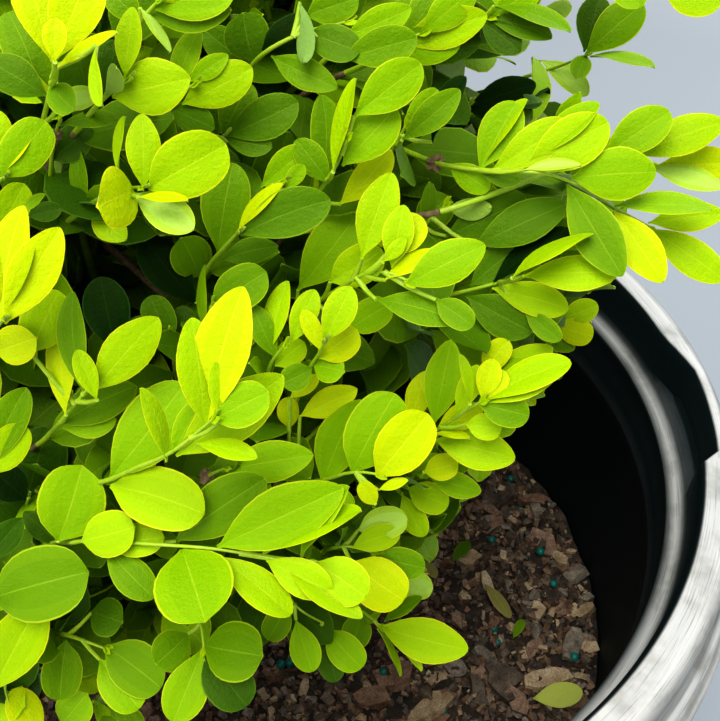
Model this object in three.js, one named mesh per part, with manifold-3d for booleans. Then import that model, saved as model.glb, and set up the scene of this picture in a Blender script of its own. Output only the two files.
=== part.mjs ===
// A young box ball in its nursery pot: a thin black pot with a folded rim, the soil in it, a short
// stem, ascending boughs and the leafy masses of the crown. Millimetres, +Z up, the origin at the
// centre of the pot's flat underside. The side with the soil showing faces -Y.
import * as THREE from "three";
import { mergeVertices } from "three/addons/utils/BufferGeometryUtils.js";
import Module from "manifold-3d";

// Pot
const potHeight = 240;
const potSides = 32;
const footRadius = 103;
const footCorner = 3;
const floorThickness = 3;
const wallThickness = 2.2;
const wallRadiusAtFloor = 105; // inside of the wall
const ledgeDepth = 17; // below the top of the rim
const wallRadiusAtLedge = 120;
const collarRadius = 125.2; // inside of the wall above the ledge
const rimRadius = 126; // inner edge of the lip
const lipRadius = 136;
const upperRidgeRadius = 138.6;
const lowerRidgeRadius = 141;
const collarDepth = 26; // how far the folded rim hangs down outside
const recessDepth = 4; // how far the rim is pressed out at its two grips
const recessFrom = -10; // degrees about +Z
const recessTo = 9;
const drainHoles = 6;
const drainWidth = 13;
const drainHeight = 9;

// Soil
const soilLevel = 134;
const soilUnevenness = 2.2;
const soilMound = 5; // rise round the stem
const soilRings = 4;
const seatGap = 0.35;

// Stem and boughs
const stemFoot = new THREE.Vector3(-3, 4, soilLevel + soilMound + 0.3);
const stemTop = new THREE.Vector3(-7, 5, 250);
const stemFlareRadius = 13;
const stemRadius = 8;
const stemTopRadius = 5.6;
const flareHeight = 14;
const stemSteps = 9;
const stemSides = 8;
const boughBaseRadius = 3.5;
const boughTipRadius = 2.2;
const boughSides = 6;
const boughSteps = 5;
const jointGap = 0.35; // between a bough and the stem or leaf mass that it meets
const boughInMass = 9; // how deep a bough's end sits in its mass

// Crown
const crownCentre = new THREE.Vector3(-14, 1, 306);
const massGap = 2.4;
const massDetail = 3;
const massUnevenness = 0.12;
const stemClearance = 19; // the masses stay this far from the stem's line
const lobeSpread = radians(24); // how wide the lobe is where a mass grows out in a tip
const lobeSwell = 0.14;
// Each ring of masses: how many, how high above the crown's centre in degrees, the first one's
// compass angle, the distance of their centres from the crown's centre, their radius, and the
// height at which their boughs leave the stem.
const crownRings = [
  { name: "lower", count: 4, lift: -59, turn: -52, reach: 90, radius: 46, forkHeight: 158 },
  { name: "middle", count: 6, lift: -3, turn: -114, reach: 61, radius: 42, forkHeight: 208 },
  { name: "upper", count: 4, lift: 41, turn: -30, reach: 62, radius: 43, forkHeight: 228 },
];
const topReach = 62;
const topRadius = 43;
// The longest shoots lean out over the rim on this side.
const sprigOut = new THREE.Vector3(Math.cos(radians(-11)), Math.sin(radians(-11)), 0.14).normalize();
const sprigReach = 122; // from the crown's centre

const wasm = await Module();
wasm.setup();

// A small seeded generator, so the uneven shapes come out the same each time.
function seeded(seed) {
  let state = seed >>> 0;
  return () => {
    state = (state + 0x6d2b79f5) >>> 0;
    let t = Math.imul(state ^ (state >>> 15), 1 | state);
    t = (t + Math.imul(t ^ (t >>> 7), 61 | t)) ^ t;
    return ((t ^ (t >>> 14)) >>> 0) / 4294967296;
  };
}

function radians(degrees) {
  return (degrees * Math.PI) / 180;
}

function solidOf(geometry) {
  const bare = geometry.clone();
  bare.deleteAttribute("normal");
  bare.deleteAttribute("uv");
  const merged = mergeVertices(bare, 1e-3);
  return new wasm.Manifold(
    new wasm.Mesh({
      numProp: 3,
      vertProperties: new Float32Array(merged.attributes.position.array),
      triVerts: new Uint32Array(merged.index.array),
    }),
  );
}

function geometryOf(solid) {
  const mesh = solid.getMesh();
  const geometry = new THREE.BufferGeometry();
  geometry.setAttribute("position", new THREE.BufferAttribute(new Float32Array(mesh.vertProperties), 3));
  geometry.setIndex(new THREE.BufferAttribute(new Uint32Array(mesh.triVerts), 1));
  const flat = geometry.toNonIndexed();
  flat.computeVertexNormals();
  return flat;
}

function geometryFrom(vertices, faces) {
  const geometry = new THREE.BufferGeometry();
  geometry.setAttribute("position", new THREE.Float32BufferAttribute(vertices.flat(), 3));
  geometry.setIndex(faces.flat());
  return geometry;
}

// A stack of rings with the same number of points, closed by a fan at each end.
function skin(rings, lowEnd, highEnd) {
  const sides = rings[0].length;
  const vertices = [...rings.flat(), lowEnd, highEnd];
  const low = vertices.length - 2;
  const high = vertices.length - 1;
  const last = (rings.length - 1) * sides;
  const faces = [];
  for (let side = 0; side < sides; side++) {
    const next = (side + 1) % sides;
    faces.push([low, next, side], [high, last + side, last + next]);
    for (let row = 0; row < rings.length - 1; row++) {
      const a = row * sides + side;
      const b = row * sides + next;
      faces.push([a, b, b + sides], [a, b + sides, a + sides]);
    }
  }
  return geometryFrom(vertices, faces);
}

// A limb of round section along a curve, radiusAt(0..1) giving its taper.
function limbGeometry(curve, steps, sides, radiusAt, extraLength = 0) {
  const frames = curve.computeFrenetFrames(steps, false);
  const rings = [];
  for (let step = 0; step <= steps; step++) {
    const along = step / steps;
    const centre = curve.getPointAt(along);
    if (step === steps) centre.addScaledVector(frames.tangents[step], extraLength);
    const ring = [];
    for (let side = 0; side < sides; side++) {
      const angle = (side / sides) * 2 * Math.PI;
      const point = centre
        .clone()
        .addScaledVector(frames.normals[step], Math.cos(angle) * radiusAt(along))
        .addScaledVector(frames.binormals[step], Math.sin(angle) * radiusAt(along));
      ring.push(point.toArray());
    }
    rings.push(ring);
  }
  const end = curve.getPointAt(1).addScaledVector(frames.tangents[steps], extraLength);
  return skin(rings, curve.getPointAt(0).toArray(), end.toArray());
}

// Inside of the pot's wall, from its floor to the ledge.
function wallRadius(z) {
  const along = (z - floorThickness) / (potHeight - ledgeDepth - floorThickness);
  return wallRadiusAtFloor + (wallRadiusAtLedge - wallRadiusAtFloor) * along;
}

function potGeometry() {
  const top = potHeight;
  const ledge = top - ledgeDepth;
  const skirtInside = 2;
  const outline = [
    [0, 0],
    [footRadius, 0],
    [footRadius + footCorner, footCorner],
    [wallRadius(ledge - 4) + wallThickness, ledge - 4],
    [collarRadius + wallThickness, ledge + 1],
    [rimRadius + wallThickness, top - 5],
    [lipRadius - skirtInside, top - 6],
    [upperRidgeRadius - skirtInside, top - 13],
    [lowerRidgeRadius - skirtInside, top - collarDepth],
    [lowerRidgeRadius - 0.4, top - collarDepth],
    [lowerRidgeRadius, top - collarDepth + 3],
    [lowerRidgeRadius - 0.7, top - collarDepth + 7],
    [upperRidgeRadius - 1.2, top - collarDepth + 8.5],
    [upperRidgeRadius, top - 14],
    [upperRidgeRadius - 0.6, top - 10],
    [lipRadius - 0.9, top - 8.5],
    [lipRadius, top - 5],
    [lipRadius - 1.4, top - 1.6],
    [lipRadius - 5, top],
    [rimRadius + 1.5, top],
    [rimRadius, top - 1],
    [collarRadius, top - 3.5],
    [collarRadius, ledge + 1.5],
    [wallRadiusAtLedge, ledge],
    [wallRadiusAtFloor, floorThickness],
    [0, floorThickness],
  ];
  const points = outline.map(([radius, z]) => new THREE.Vector2(radius, z));
  const geometry = new THREE.LatheGeometry(points, potSides);
  geometry.rotateX(Math.PI / 2);
  const position = geometry.attributes.position;
  for (let i = 0; i < position.count; i++) {
    const x = position.getX(i);
    const y = position.getY(i);
    const radius = Math.hypot(x, y);
    const inRim = position.getZ(i) > ledge + 1.2 && radius > collarRadius - 1 && radius < rimRadius + 3;
    const push = inRim ? recessAt(Math.atan2(y, x)) / radius : 0;
    position.setX(i, x * (1 + push));
    position.setY(i, y * (1 + push));
  }
  return geometry;
}

// How far the lip is pressed out at a compass angle: two grips, one opposite the other.
function recessAt(angle) {
  const degrees = (angle * 180) / Math.PI;
  const here = ((degrees + 90 + 360) % 180) - 90;
  return here > recessFrom && here < recessTo ? recessDepth : 0;
}

function pot() {
  let solid = solidOf(potGeometry());
  for (let hole = 0; hole < drainHoles; hole++) {
    const cutter = new THREE.BoxGeometry(16, drainWidth, drainHeight);
    cutter.translate(footRadius + 3, 0, floorThickness + 2 + drainHeight / 2);
    cutter.rotateZ(((hole + 0.5) / drainHoles) * 2 * Math.PI);
    solid = solid.subtract(solidOf(cutter));
  }
  return geometryOf(solid);
}

// The soil fills the pot up to its level, with an uneven top that rises a little round the stem
// and is flat under it.
function soil() {
  const random = seeded(11);
  const bottom = floorThickness + seatGap;
  const ringAt = (radius, height) => {
    const ring = [];
    for (let side = 0; side < potSides; side++) {
      const angle = (side / potSides) * 2 * Math.PI;
      ring.push([radius * Math.sin(angle), -radius * Math.cos(angle), height()]);
    }
    return ring;
  };
  const edge = soilLevel - 3;
  const rings = [
    ringAt(wallRadius(bottom) - seatGap, () => bottom),
    ringAt(wallRadius(edge) - seatGap, () => edge),
  ];
  const flatRadius = stemFlareRadius + 9;
  for (let ring = 1; ring < soilRings; ring++) {
    const inward = ring / soilRings;
    const radius = THREE.MathUtils.lerp(wallRadius(edge) - seatGap, flatRadius, inward);
    const rise = soilMound * inward ** 3;
    rings.push(ringAt(radius, () => soilLevel + rise + (random() - 0.5) * 2 * soilUnevenness));
  }
  rings.push(ringAt(flatRadius, () => soilLevel + soilMound));
  return skin(rings, [0, 0, bottom], [0, 0, soilLevel + soilMound]);
}

const stemCurve = new THREE.CatmullRomCurve3([
  stemFoot,
  new THREE.Vector3(stemFoot.x, stemFoot.y, stemFoot.z + flareHeight),
  stemFoot.clone().lerp(stemTop, 0.6).add(new THREE.Vector3(1.5, -1, 0)),
  stemTop,
]);

function stemLimb(extraRadius) {
  const length = stemCurve.getLength();
  const radiusAt = (along) => {
    const height = along * length;
    const taper = THREE.MathUtils.lerp(stemRadius, stemTopRadius, along);
    const flare = (stemFlareRadius - stemRadius) * Math.max(0, 1 - height / flareHeight) ** 2;
    return taper + flare + extraRadius;
  };
  const geometry = limbGeometry(stemCurve, stemSteps, stemSides, radiusAt);
  // Both ends are cut level.
  const position = geometry.attributes.position;
  for (let i = 0; i < position.count; i++) {
    const ring = Math.floor(i / stemSides);
    if (ring === 0) position.setZ(i, stemFoot.z);
    if (ring === stemSteps) position.setZ(i, stemTop.z);
  }
  return geometry;
}

// Where each mass sits, how large it is and where its bough leaves the stem.
function crownPlan() {
  const random = seeded(29);
  const masses = [];
  for (const ring of crownRings) {
    for (let place = 0; place < ring.count; place++) {
      const turn = radians(ring.turn + (place / ring.count) * 360 + (random() - 0.5) * 10);
      const lift = radians(ring.lift + (random() - 0.5) * 8);
      const out = new THREE.Vector3(
        Math.cos(lift) * Math.cos(turn),
        Math.cos(lift) * Math.sin(turn),
        Math.sin(lift),
      );
      masses.push({
        name: `${ring.name}_${place + 1}`,
        out,
        centre: out.clone().multiplyScalar(ring.reach + (random() - 0.5) * 5).add(crownCentre),
        radius: ring.radius + (random() - 0.5) * 4,
        forkHeight: ring.forkHeight + (place % 2) * 7,
      });
    }
  }
  masses.push({
    name: "top",
    out: new THREE.Vector3(0, 0, 1),
    centre: crownCentre.clone().add(new THREE.Vector3(2, -3, topReach)),
    radius: topRadius,
    forkHeight: null,
  });
  const nearestSprig = (a, b) => (b.out.dot(sprigOut) > a.out.dot(sprigOut) ? b : a);
  masses.reduce(nearestSprig).tip = sprigOut.clone().multiplyScalar(sprigReach).add(crownCentre);
  return masses;
}

// One uneven lump of foliage, drawn out to a blunt tip where its longest shoots are. It swells
// from its centre until it meets its own radius or the plane half way to a neighbour.
function massGeometry(mass, masses, seed) {
  const random = seeded(seed);
  const waves = [];
  for (let wave = 0; wave < 5; wave++) {
    const along = new THREE.Vector3(random() - 0.5, random() - 0.5, random() - 0.5).normalize();
    waves.push({ along, pace: 2.5 + random() * 4, phase: random() * 6.28 });
  }
  const tip = mass.tip ?? mass.out.clone().multiplyScalar(mass.radius * (1 + lobeSwell)).add(mass.centre);
  const tipWay = tip.clone().sub(mass.centre).normalize();
  const tipReach = tip.distanceTo(mass.centre);
  const geometry = new THREE.IcosahedronGeometry(1, massDetail);
  const position = geometry.attributes.position;
  const out = new THREE.Vector3();
  for (let i = 0; i < position.count; i++) {
    out.fromBufferAttribute(position, i).normalize();
    let swell = 0;
    for (const wave of waves) swell += Math.sin(wave.along.dot(out) * wave.pace + wave.phase);
    let reach = mass.radius * (1 + (massUnevenness * swell) / 2.2);
    const lobe = Math.exp(-((out.angleTo(tipWay) / lobeSpread) ** 2));
    reach = THREE.MathUtils.lerp(reach, tipReach, lobe);
    for (const other of masses) {
      if (other === mass) continue;
      const between = other.centre.clone().sub(mass.centre);
      const distance = between.length();
      const facing = between.dot(out) / distance;
      if (facing < 0.05) continue;
      const share = (distance ** 2 + mass.radius ** 2 - other.radius ** 2) / (2 * distance);
      reach = Math.min(reach, (share - massGap / 2) / facing);
    }
    const inward = new THREE.Vector3(stemTop.x - mass.centre.x, stemTop.y - mass.centre.y, 0);
    const stemDistance = inward.length();
    if (stemDistance > stemClearance) {
      const facing = inward.dot(out) / stemDistance;
      if (facing > 0.05) reach = Math.min(reach, (stemDistance - stemClearance) / facing);
    }
    out.multiplyScalar(reach).add(mass.centre);
    position.setXYZ(i, out.x, out.y, out.z);
  }
  return geometry;
}

// A bough rises from the stem's line and bends out to its mass.
function boughCurve(mass, entry) {
  if (mass.forkHeight === null) {
    const start = stemTop.clone().add(new THREE.Vector3(0, 0, jointGap));
    return new THREE.CatmullRomCurve3([
      start,
      start.clone().add(new THREE.Vector3(0, 0, 12)),
      start.clone().lerp(entry, 0.6).add(new THREE.Vector3(2, 1, 0)),
      entry,
    ]);
  }
  const along = (mass.forkHeight - stemFoot.z) / (stemTop.z - stemFoot.z);
  const start = stemCurve.getPointAt(along);
  const side = new THREE.Vector3(entry.x - start.x, entry.y - start.y, 0);
  const bend = start.clone().lerp(entry, 0.5).addScaledVector(side, 0.1);
  bend.z -= 3;
  return new THREE.CatmullRomCurve3([start, bend, entry]);
}

// Where the line from the fork to the mass's centre first enters the mass, moved inside.
function entryPoint(mass, massSolid) {
  const from = mass.forkHeight === null ? stemTop : stemCurve.getPointAt(
    (mass.forkHeight - stemFoot.z) / (stemTop.z - stemFoot.z),
  );
  const way = mass.centre.clone().sub(from).normalize();
  const skinMesh = new THREE.Mesh(massSolid, new THREE.MeshBasicMaterial({ side: THREE.DoubleSide }));
  const hits = new THREE.Raycaster(from, way).intersectObject(skinMesh);
  return hits[0].point.clone().addScaledVector(way, boughInMass);
}

const plant = new THREE.Group();

function addPiece(name, geometry, colour, roughness) {
  const material = new THREE.MeshStandardMaterial({ color: colour, roughness, metalness: 0 });
  const mesh = new THREE.Mesh(geometry, material);
  mesh.name = name;
  plant.add(mesh);
}

addPiece("pot", pot(), 0x16181a, 0.35);
addPiece("soil", soil(), 0x3a281d, 0.95);
addPiece("stem", stemLimb(0), 0x8a7a58, 0.85);

const masses = crownPlan();
const taper = (extra) => (along) => THREE.MathUtils.lerp(boughBaseRadius, boughTipRadius, along) + extra;
const grownStem = solidOf(stemLimb(jointGap));
const limbs = [];
masses.forEach((mass, index) => {
  mass.geometry = massGeometry(mass, masses, 100 + index);
  const curve = boughCurve(mass, entryPoint(mass, mass.geometry));
  let bough = solidOf(limbGeometry(curve, boughSteps, boughSides, taper(0)));
  if (mass.forkHeight !== null) bough = bough.subtract(grownStem);
  for (const earlier of limbs) bough = bough.subtract(earlier);
  limbs.push(solidOf(limbGeometry(curve, boughSteps, boughSides, taper(jointGap), jointGap)));
  addPiece(`bough_${mass.name}`, geometryOf(bough), 0x6f6a3c, 0.8);
});

masses.forEach((mass) => {
  let lump = solidOf(mass.geometry).subtract(grownStem);
  for (const limb of limbs) lump = lump.subtract(limb);
  addPiece(`leaves_${mass.name}`, geometryOf(lump), 0x8cc21c, 0.5);
});

export default plant;
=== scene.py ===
import math
from collections import namedtuple

import bpy
import numpy as np
from mathutils import Matrix, Vector, noise


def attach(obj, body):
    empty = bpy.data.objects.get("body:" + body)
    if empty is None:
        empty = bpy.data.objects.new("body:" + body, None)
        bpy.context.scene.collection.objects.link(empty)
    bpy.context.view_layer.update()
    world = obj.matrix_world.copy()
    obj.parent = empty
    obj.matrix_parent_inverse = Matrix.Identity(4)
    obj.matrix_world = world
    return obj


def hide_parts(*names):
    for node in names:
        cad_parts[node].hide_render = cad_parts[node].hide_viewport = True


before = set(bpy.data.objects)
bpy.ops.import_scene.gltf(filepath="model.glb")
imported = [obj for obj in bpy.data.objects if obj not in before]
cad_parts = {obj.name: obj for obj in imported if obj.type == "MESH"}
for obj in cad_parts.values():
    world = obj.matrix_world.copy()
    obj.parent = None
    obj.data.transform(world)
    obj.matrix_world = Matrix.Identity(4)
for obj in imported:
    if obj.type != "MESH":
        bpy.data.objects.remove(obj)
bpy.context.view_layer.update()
mm = 0.001

# The camera, at the photograph's distance and angle. Places taken from the picture go through it.
viewpoint = {
    "place": (30.0, -201.0, 447.5),  # mm from the middle of the pot's underside
    "downward": 43.8,
    "tilt": 0.9,
    "focalPixels": 1000.0,
    "wide": 720,
    "high": 721,
}

cameraTurn = (
    Matrix.Rotation(math.radians(90 - viewpoint["downward"]), 3, "X")
    @ Matrix.Rotation(math.radians(viewpoint["tilt"]), 3, "Z")
)
cameraPlace = Vector(viewpoint["place"])


def seenAt(px, py, depth):
    # the point, in mm, that shows at a pixel of the picture at that distance along the view
    right = (px - viewpoint["wide"] / 2) / viewpoint["focalPixels"] * depth
    up = -(py - viewpoint["high"] / 2) / viewpoint["focalPixels"] * depth
    return cameraPlace + cameraTurn @ Vector((right, up, -depth))


def pixelOf(points):
    # where points, in mm, show in the picture, and how far along the view they are
    turn = np.array(cameraTurn)
    local = (np.asarray(points, dtype=float) - np.array(cameraPlace)) @ turn
    depth = -local[..., 2]
    px = viewpoint["wide"] / 2 + viewpoint["focalPixels"] * local[..., 0] / depth
    py = viewpoint["high"] / 2 - viewpoint["focalPixels"] * local[..., 1] / depth
    return px, py, depth


cameraData = bpy.data.cameras.new("closeCamera")
cameraData.sensor_fit = "HORIZONTAL"
cameraData.sensor_width = 36
cameraData.lens = viewpoint["focalPixels"] / viewpoint["wide"] * 36
cameraData.clip_start = 0.01
camera = bpy.data.objects.new("closeCamera", cameraData)
bpy.context.scene.collection.objects.link(camera)
camera.location = cameraPlace * mm
camera.rotation_euler = cameraTurn.to_euler()
bpy.context.scene.camera = camera
print("camera ready")


# Small helpers for meshes, nodes and finished pieces

def deselectAll():
    if bpy.context.mode != "OBJECT":
        bpy.ops.object.mode_set(mode="OBJECT")
    bpy.ops.object.select_all(action="DESELECT")


def makeActive(piece):
    deselectAll()
    piece.select_set(True)
    bpy.context.view_layer.objects.active = piece


def finishPiece(piece, slotName, *nodes):
    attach(piece, "root")
    if nodes:
        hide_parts(*nodes)


def joinParts(parts):
    # parts are (vertices in mm, loops, face sizes, material numbers)
    verts, loops, sizes, mats = [], [], [], []
    offset = 0
    for part in parts:
        verts.append(part[0])
        loops.append(part[1] + offset)
        sizes.append(part[2])
        mats.append(part[3])
        offset += len(part[0])
    return np.concatenate(verts), np.concatenate(loops), np.concatenate(sizes), np.concatenate(mats)


def meshPiece(name, parts, materials, smoothAngle):
    verts, loops, sizes, mats = joinParts(parts)
    mesh = bpy.data.meshes.new(name)
    mesh.vertices.add(len(verts))
    mesh.vertices.foreach_set("co", (verts * mm).astype(np.float32).ravel())
    mesh.loops.add(len(loops))
    mesh.loops.foreach_set("vertex_index", loops.astype(np.int32))
    mesh.polygons.add(len(sizes))
    starts = np.concatenate(([0], np.cumsum(sizes)[:-1])).astype(np.int32)
    mesh.polygons.foreach_set("loop_start", starts)
    mesh.polygons.foreach_set("material_index", mats.astype(np.int32))
    mesh.update(calc_edges=True)
    for material in materials:
        mesh.materials.append(material)
    piece = bpy.data.objects.new(name, mesh)
    bpy.context.scene.collection.objects.link(piece)
    makeActive(piece)
    bpy.ops.object.shade_smooth_by_angle(angle=math.radians(smoothAngle))
    return piece


def unit(v):
    v = np.asarray(v, dtype=float)
    return v / np.maximum(np.linalg.norm(v, axis=-1, keepdims=True), 1e-9)


def smoothLine(points, count):
    # a line of evenly spaced points on a smooth curve through the given ones
    points = np.asarray(points, dtype=float)
    ends = np.vstack((2 * points[0] - points[1], points, 2 * points[-1] - points[-2]))
    line = []
    for k in range(len(points) - 1):
        a, b, c, d = ends[k:k + 4]
        for t in np.linspace(0, 1, 12, endpoint=False):
            line.append(0.5 * ((2 * b) + (c - a) * t + (2 * a - 5 * b + 4 * c - d) * t ** 2
                               + (3 * b - a - 3 * c + d) * t ** 3))
    line.append(points[-1])
    line = np.array(line)
    run = np.concatenate(([0], np.cumsum(np.linalg.norm(np.diff(line, axis=0), axis=1))))
    wanted = np.linspace(0, run[-1], count)
    return np.stack([np.interp(wanted, run, line[:, k]) for k in range(3)], axis=1)


def ringCorners(rows, sides):
    # the two lower corners of every face between rings of points
    row = np.arange(rows - 1)[:, None] * sides
    side = np.arange(sides)[None, :]
    return (row + side).ravel(), (row + (side + 1) % sides).ravel()


def tube(points, radii, sides, material=0, relief=None):
    # a closed limb of round section along the points
    points = np.asarray(points, dtype=float)
    radii = np.asarray(radii, dtype=float)
    along = unit(np.gradient(points, axis=0))
    helper = np.array([1.0, 0, 0]) if abs(along[0][0]) < 0.8 else np.array([0, 1.0, 0])
    side = unit(np.cross(along[0], helper))
    rings = []
    for k in range(len(points)):
        side = unit(side - along[k] * np.dot(side, along[k]))
        other = np.cross(along[k], side)
        angle = np.arange(sides) / sides * 2 * np.pi
        ring = np.cos(angle)[:, None] * side + np.sin(angle)[:, None] * other
        grow = np.full(sides, radii[k])
        if relief is not None:
            grow = grow + relief(points[k] + ring * radii[k], radii[k])
        rings.append(points[k] + ring * grow[:, None])
    verts = np.concatenate(rings)
    a, b = ringCorners(len(points), sides)
    quads = np.stack((a, b, b + sides, a + sides), axis=1).ravel()
    low = np.arange(sides)[::-1]
    high = (len(points) - 1) * sides + np.arange(sides)
    loops = np.concatenate((quads, low, high))
    sizes = np.concatenate((np.full(len(a), 4), [sides, sides]))
    return verts, loops, sizes, np.full(len(sizes), material)


def newMaterial(name):
    material = bpy.data.materials.new(name)
    material.use_nodes = True
    nodes = material.node_tree.nodes
    shader = next(n for n in nodes if n.type == "BSDF_PRINCIPLED")
    return material, material.node_tree, shader


def addNode(tree, kind, **values):
    node = tree.nodes.new(kind)
    for key, value in values.items():
        if hasattr(node, key):
            setattr(node, key, value)
        else:
            node.inputs[key].default_value = value
    return node


def ramp(tree, source, stops):
    # each stop has a place and a colour, or one number for a grey
    node = tree.nodes.new("ShaderNodeValToRGB")
    while len(node.color_ramp.elements) < len(stops):
        node.color_ramp.elements.new(0.5)
    for element, (place, colour) in zip(node.color_ramp.elements, stops):
        element.position = place
        element.color = (*colour, 1) if isinstance(colour, tuple) else (colour, colour, colour, 1)
    tree.links.new(source, node.inputs["Fac"])
    return node.outputs["Color"]


def feed(tree, value, socket):
    # a socket takes a link, a colour or a number
    if isinstance(value, bpy.types.NodeSocket):
        tree.links.new(value, socket)
    elif isinstance(value, tuple):
        socket.default_value = (*value, 1)
    else:
        socket.default_value = value


def mixColours(tree, mask, first, second, blend="MIX"):
    node = tree.nodes.new("ShaderNodeMix")
    node.data_type = "RGBA"
    node.blend_type = blend
    for name, kind, value in (("Factor", "VALUE", mask), ("A", "RGBA", first), ("B", "RGBA", second)):
        feed(tree, value, next(s for s in node.inputs if s.name == name and s.type == kind))
    return next(s for s in node.outputs if s.type == "RGBA")


def maths(tree, operation, first, second=0.0, clamp=False):
    node = tree.nodes.new("ShaderNodeMath")
    node.operation = operation
    node.use_clamp = clamp
    feed(tree, first, node.inputs[0])
    feed(tree, second, node.inputs[1])
    return node.outputs[0]


def product(tree, *values):
    result = values[0]
    for value in values[1:]:
        result = maths(tree, "MULTIPLY", result, value)
    return result


def sumOfProducts(tree, *pairs):
    result = product(tree, *pairs[0])
    for pair in pairs[1:]:
        result = maths(tree, "ADD", result, product(tree, *pair))
    return result


def risesPast(tree, value, level, steepness):
    # 0 up to the level, and 1 beyond it (the other way round where the steepness is below zero)
    return maths(tree, "MULTIPLY", maths(tree, "SUBTRACT", value, level), steepness, clamp=True)


def liesNear(tree, value, level, steepness):
    # 1 at the level, and 0 away from it on both sides
    away = maths(tree, "ABSOLUTE", maths(tree, "SUBTRACT", value, level))
    return maths(tree, "SUBTRACT", 1.0, maths(tree, "MULTIPLY", away, steepness), clamp=True)


def speckleGroup():
    # masks of coarse and fine mottling on Object coordinates, and a relief height
    group = bpy.data.node_groups.new("speckle", "ShaderNodeTree")
    for name, value in (("Coarse", 60.0), ("Fine", 600.0), ("Seed", 0.0)):
        socket = group.interface.new_socket(name, in_out="INPUT", socket_type="NodeSocketFloat")
        socket.default_value = value
    for name in ("Coarse mask", "Fine mask", "Height"):
        group.interface.new_socket(name, in_out="OUTPUT", socket_type="NodeSocketFloat")
    inside = group.nodes.new("NodeGroupInput")
    outside = group.nodes.new("NodeGroupOutput")
    place = group.nodes.new("ShaderNodeTexCoord")
    coarse = addNode(group, "ShaderNodeTexNoise", noise_dimensions="4D", Detail=4.0, Roughness=0.6)
    fine = addNode(group, "ShaderNodeTexNoise", noise_dimensions="4D", Detail=3.0, Roughness=0.7)
    for node, scale in ((coarse, "Coarse"), (fine, "Fine")):
        group.links.new(place.outputs["Object"], node.inputs["Vector"])
        group.links.new(inside.outputs[scale], node.inputs["Scale"])
        group.links.new(inside.outputs["Seed"], node.inputs["W"])
    group.links.new(coarse.outputs["Fac"], outside.inputs["Coarse mask"])
    group.links.new(fine.outputs["Fac"], outside.inputs["Fine mask"])
    both = maths(group, "ADD", coarse.outputs["Fac"], product(group, fine.outputs["Fac"], 0.6))
    group.links.new(both, outside.inputs["Height"])
    return group


speckle = speckleGroup()


def placeSpeckle(tree, coarse, fine, seed):
    node = tree.nodes.new("ShaderNodeGroup")
    node.node_tree = speckle
    node.inputs["Coarse"].default_value = coarse
    node.inputs["Fine"].default_value = fine
    node.inputs["Seed"].default_value = seed
    return node.outputs


def addBump(tree, shader, height, strength, distance):
    bump = addNode(tree, "ShaderNodeBump", Strength=strength, Distance=distance)
    tree.links.new(height, bump.inputs["Height"])
    tree.links.new(bump.outputs["Normal"], shader.inputs["Normal"])


def mottledMaterial(name, tones, seed, rough, finish):
    # three tones in patches, under darker flecks
    material, tree, shader = newMaterial(name)
    marks = placeSpeckle(tree, finish["coarse"], finish["fine"], seed)
    base = ramp(tree, marks["Coarse mask"], list(zip(finish["patches"], tones)))
    flecks = ramp(tree, marks["Fine mask"], [(finish["fleckPlace"], finish["fleckTone"]), (0.6, 1)])
    tree.links.new(mixColours(tree, 1.0, base, flecks, "MULTIPLY"), shader.inputs["Base Color"])
    shader.inputs["Roughness"].default_value = rough
    addBump(tree, shader, marks["Height"], finish["relief"], finish["reliefDepth"])
    return material


# Floor and light

studio = {
    "floorSize": 24.0,
    "floorColour": (0.35, 0.385, 0.415),
    "farColour": (0.93, 0.94, 0.95),
    "worldColour": (0.93, 0.96, 1.0),
    "worldStrength": 0.58,
    "lights": {  # place, size, watts, and the height over the pot's foot that each is aimed at
        "keyLight": ((-0.10, -0.36, 1.28), 0.75, 11.0, 0.28),
        "fillLight": ((-0.9, -0.9, 0.9), 1.2, 7.0, 0.25),
        "backLight": ((0.95, 0.75, 0.8), 1.0, 7.0, 0.25),
    },
}

deselectAll()
bpy.ops.mesh.primitive_plane_add(size=studio["floorSize"], location=(0, 0, 0))
floor = bpy.context.active_object
floor.name = "floor"
floorMaterial, floorTree, floorShader = newMaterial("palePaper")
floorPlace = addNode(floorTree, "ShaderNodeTexCoord")
floorAway = addNode(floorTree, "ShaderNodeVectorMath", operation="LENGTH")
floorTree.links.new(floorPlace.outputs["Object"], floorAway.inputs[0])
# paler with distance, as the lights reach less of it
floorFade = ramp(floorTree, maths(floorTree, "MULTIPLY", floorAway.outputs["Value"], 0.2, clamp=True), [
    (0.16, 0), (0.28, 0.38), (0.48, 0.72), (1.0, 1)])
floorTree.links.new(mixColours(floorTree, floorFade, studio["floorColour"], studio["farColour"]),
                    floorShader.inputs["Base Color"])
floorShader.inputs["Roughness"].default_value = 0.85
floor.data.materials.append(floorMaterial)

world = bpy.data.worlds.new("softSky")
bpy.context.scene.world = world
world.use_nodes = True
background = next(n for n in world.node_tree.nodes if n.type == "BACKGROUND")
background.inputs["Color"].default_value = (*studio["worldColour"], 1)
background.inputs["Strength"].default_value = studio["worldStrength"]


def softLight(name, place, size, watts, aim):
    data = bpy.data.lights.new(name, "AREA")
    data.shape = "DISK"
    data.size = size
    data.energy = watts
    lamp = bpy.data.objects.new(name, data)
    bpy.context.scene.collection.objects.link(lamp)
    lamp.location = place
    lamp.rotation_euler = (Vector((0, 0, aim)) - Vector(place)).to_track_quat("-Z", "Y").to_euler()


for lightName, values in studio["lights"].items():
    softLight(lightName, *values)
bpy.context.scene.view_settings.view_transform = "Standard"
bpy.context.scene.view_settings.look = "Medium High Contrast"
print("floor and lights ready")


# Pot

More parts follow.
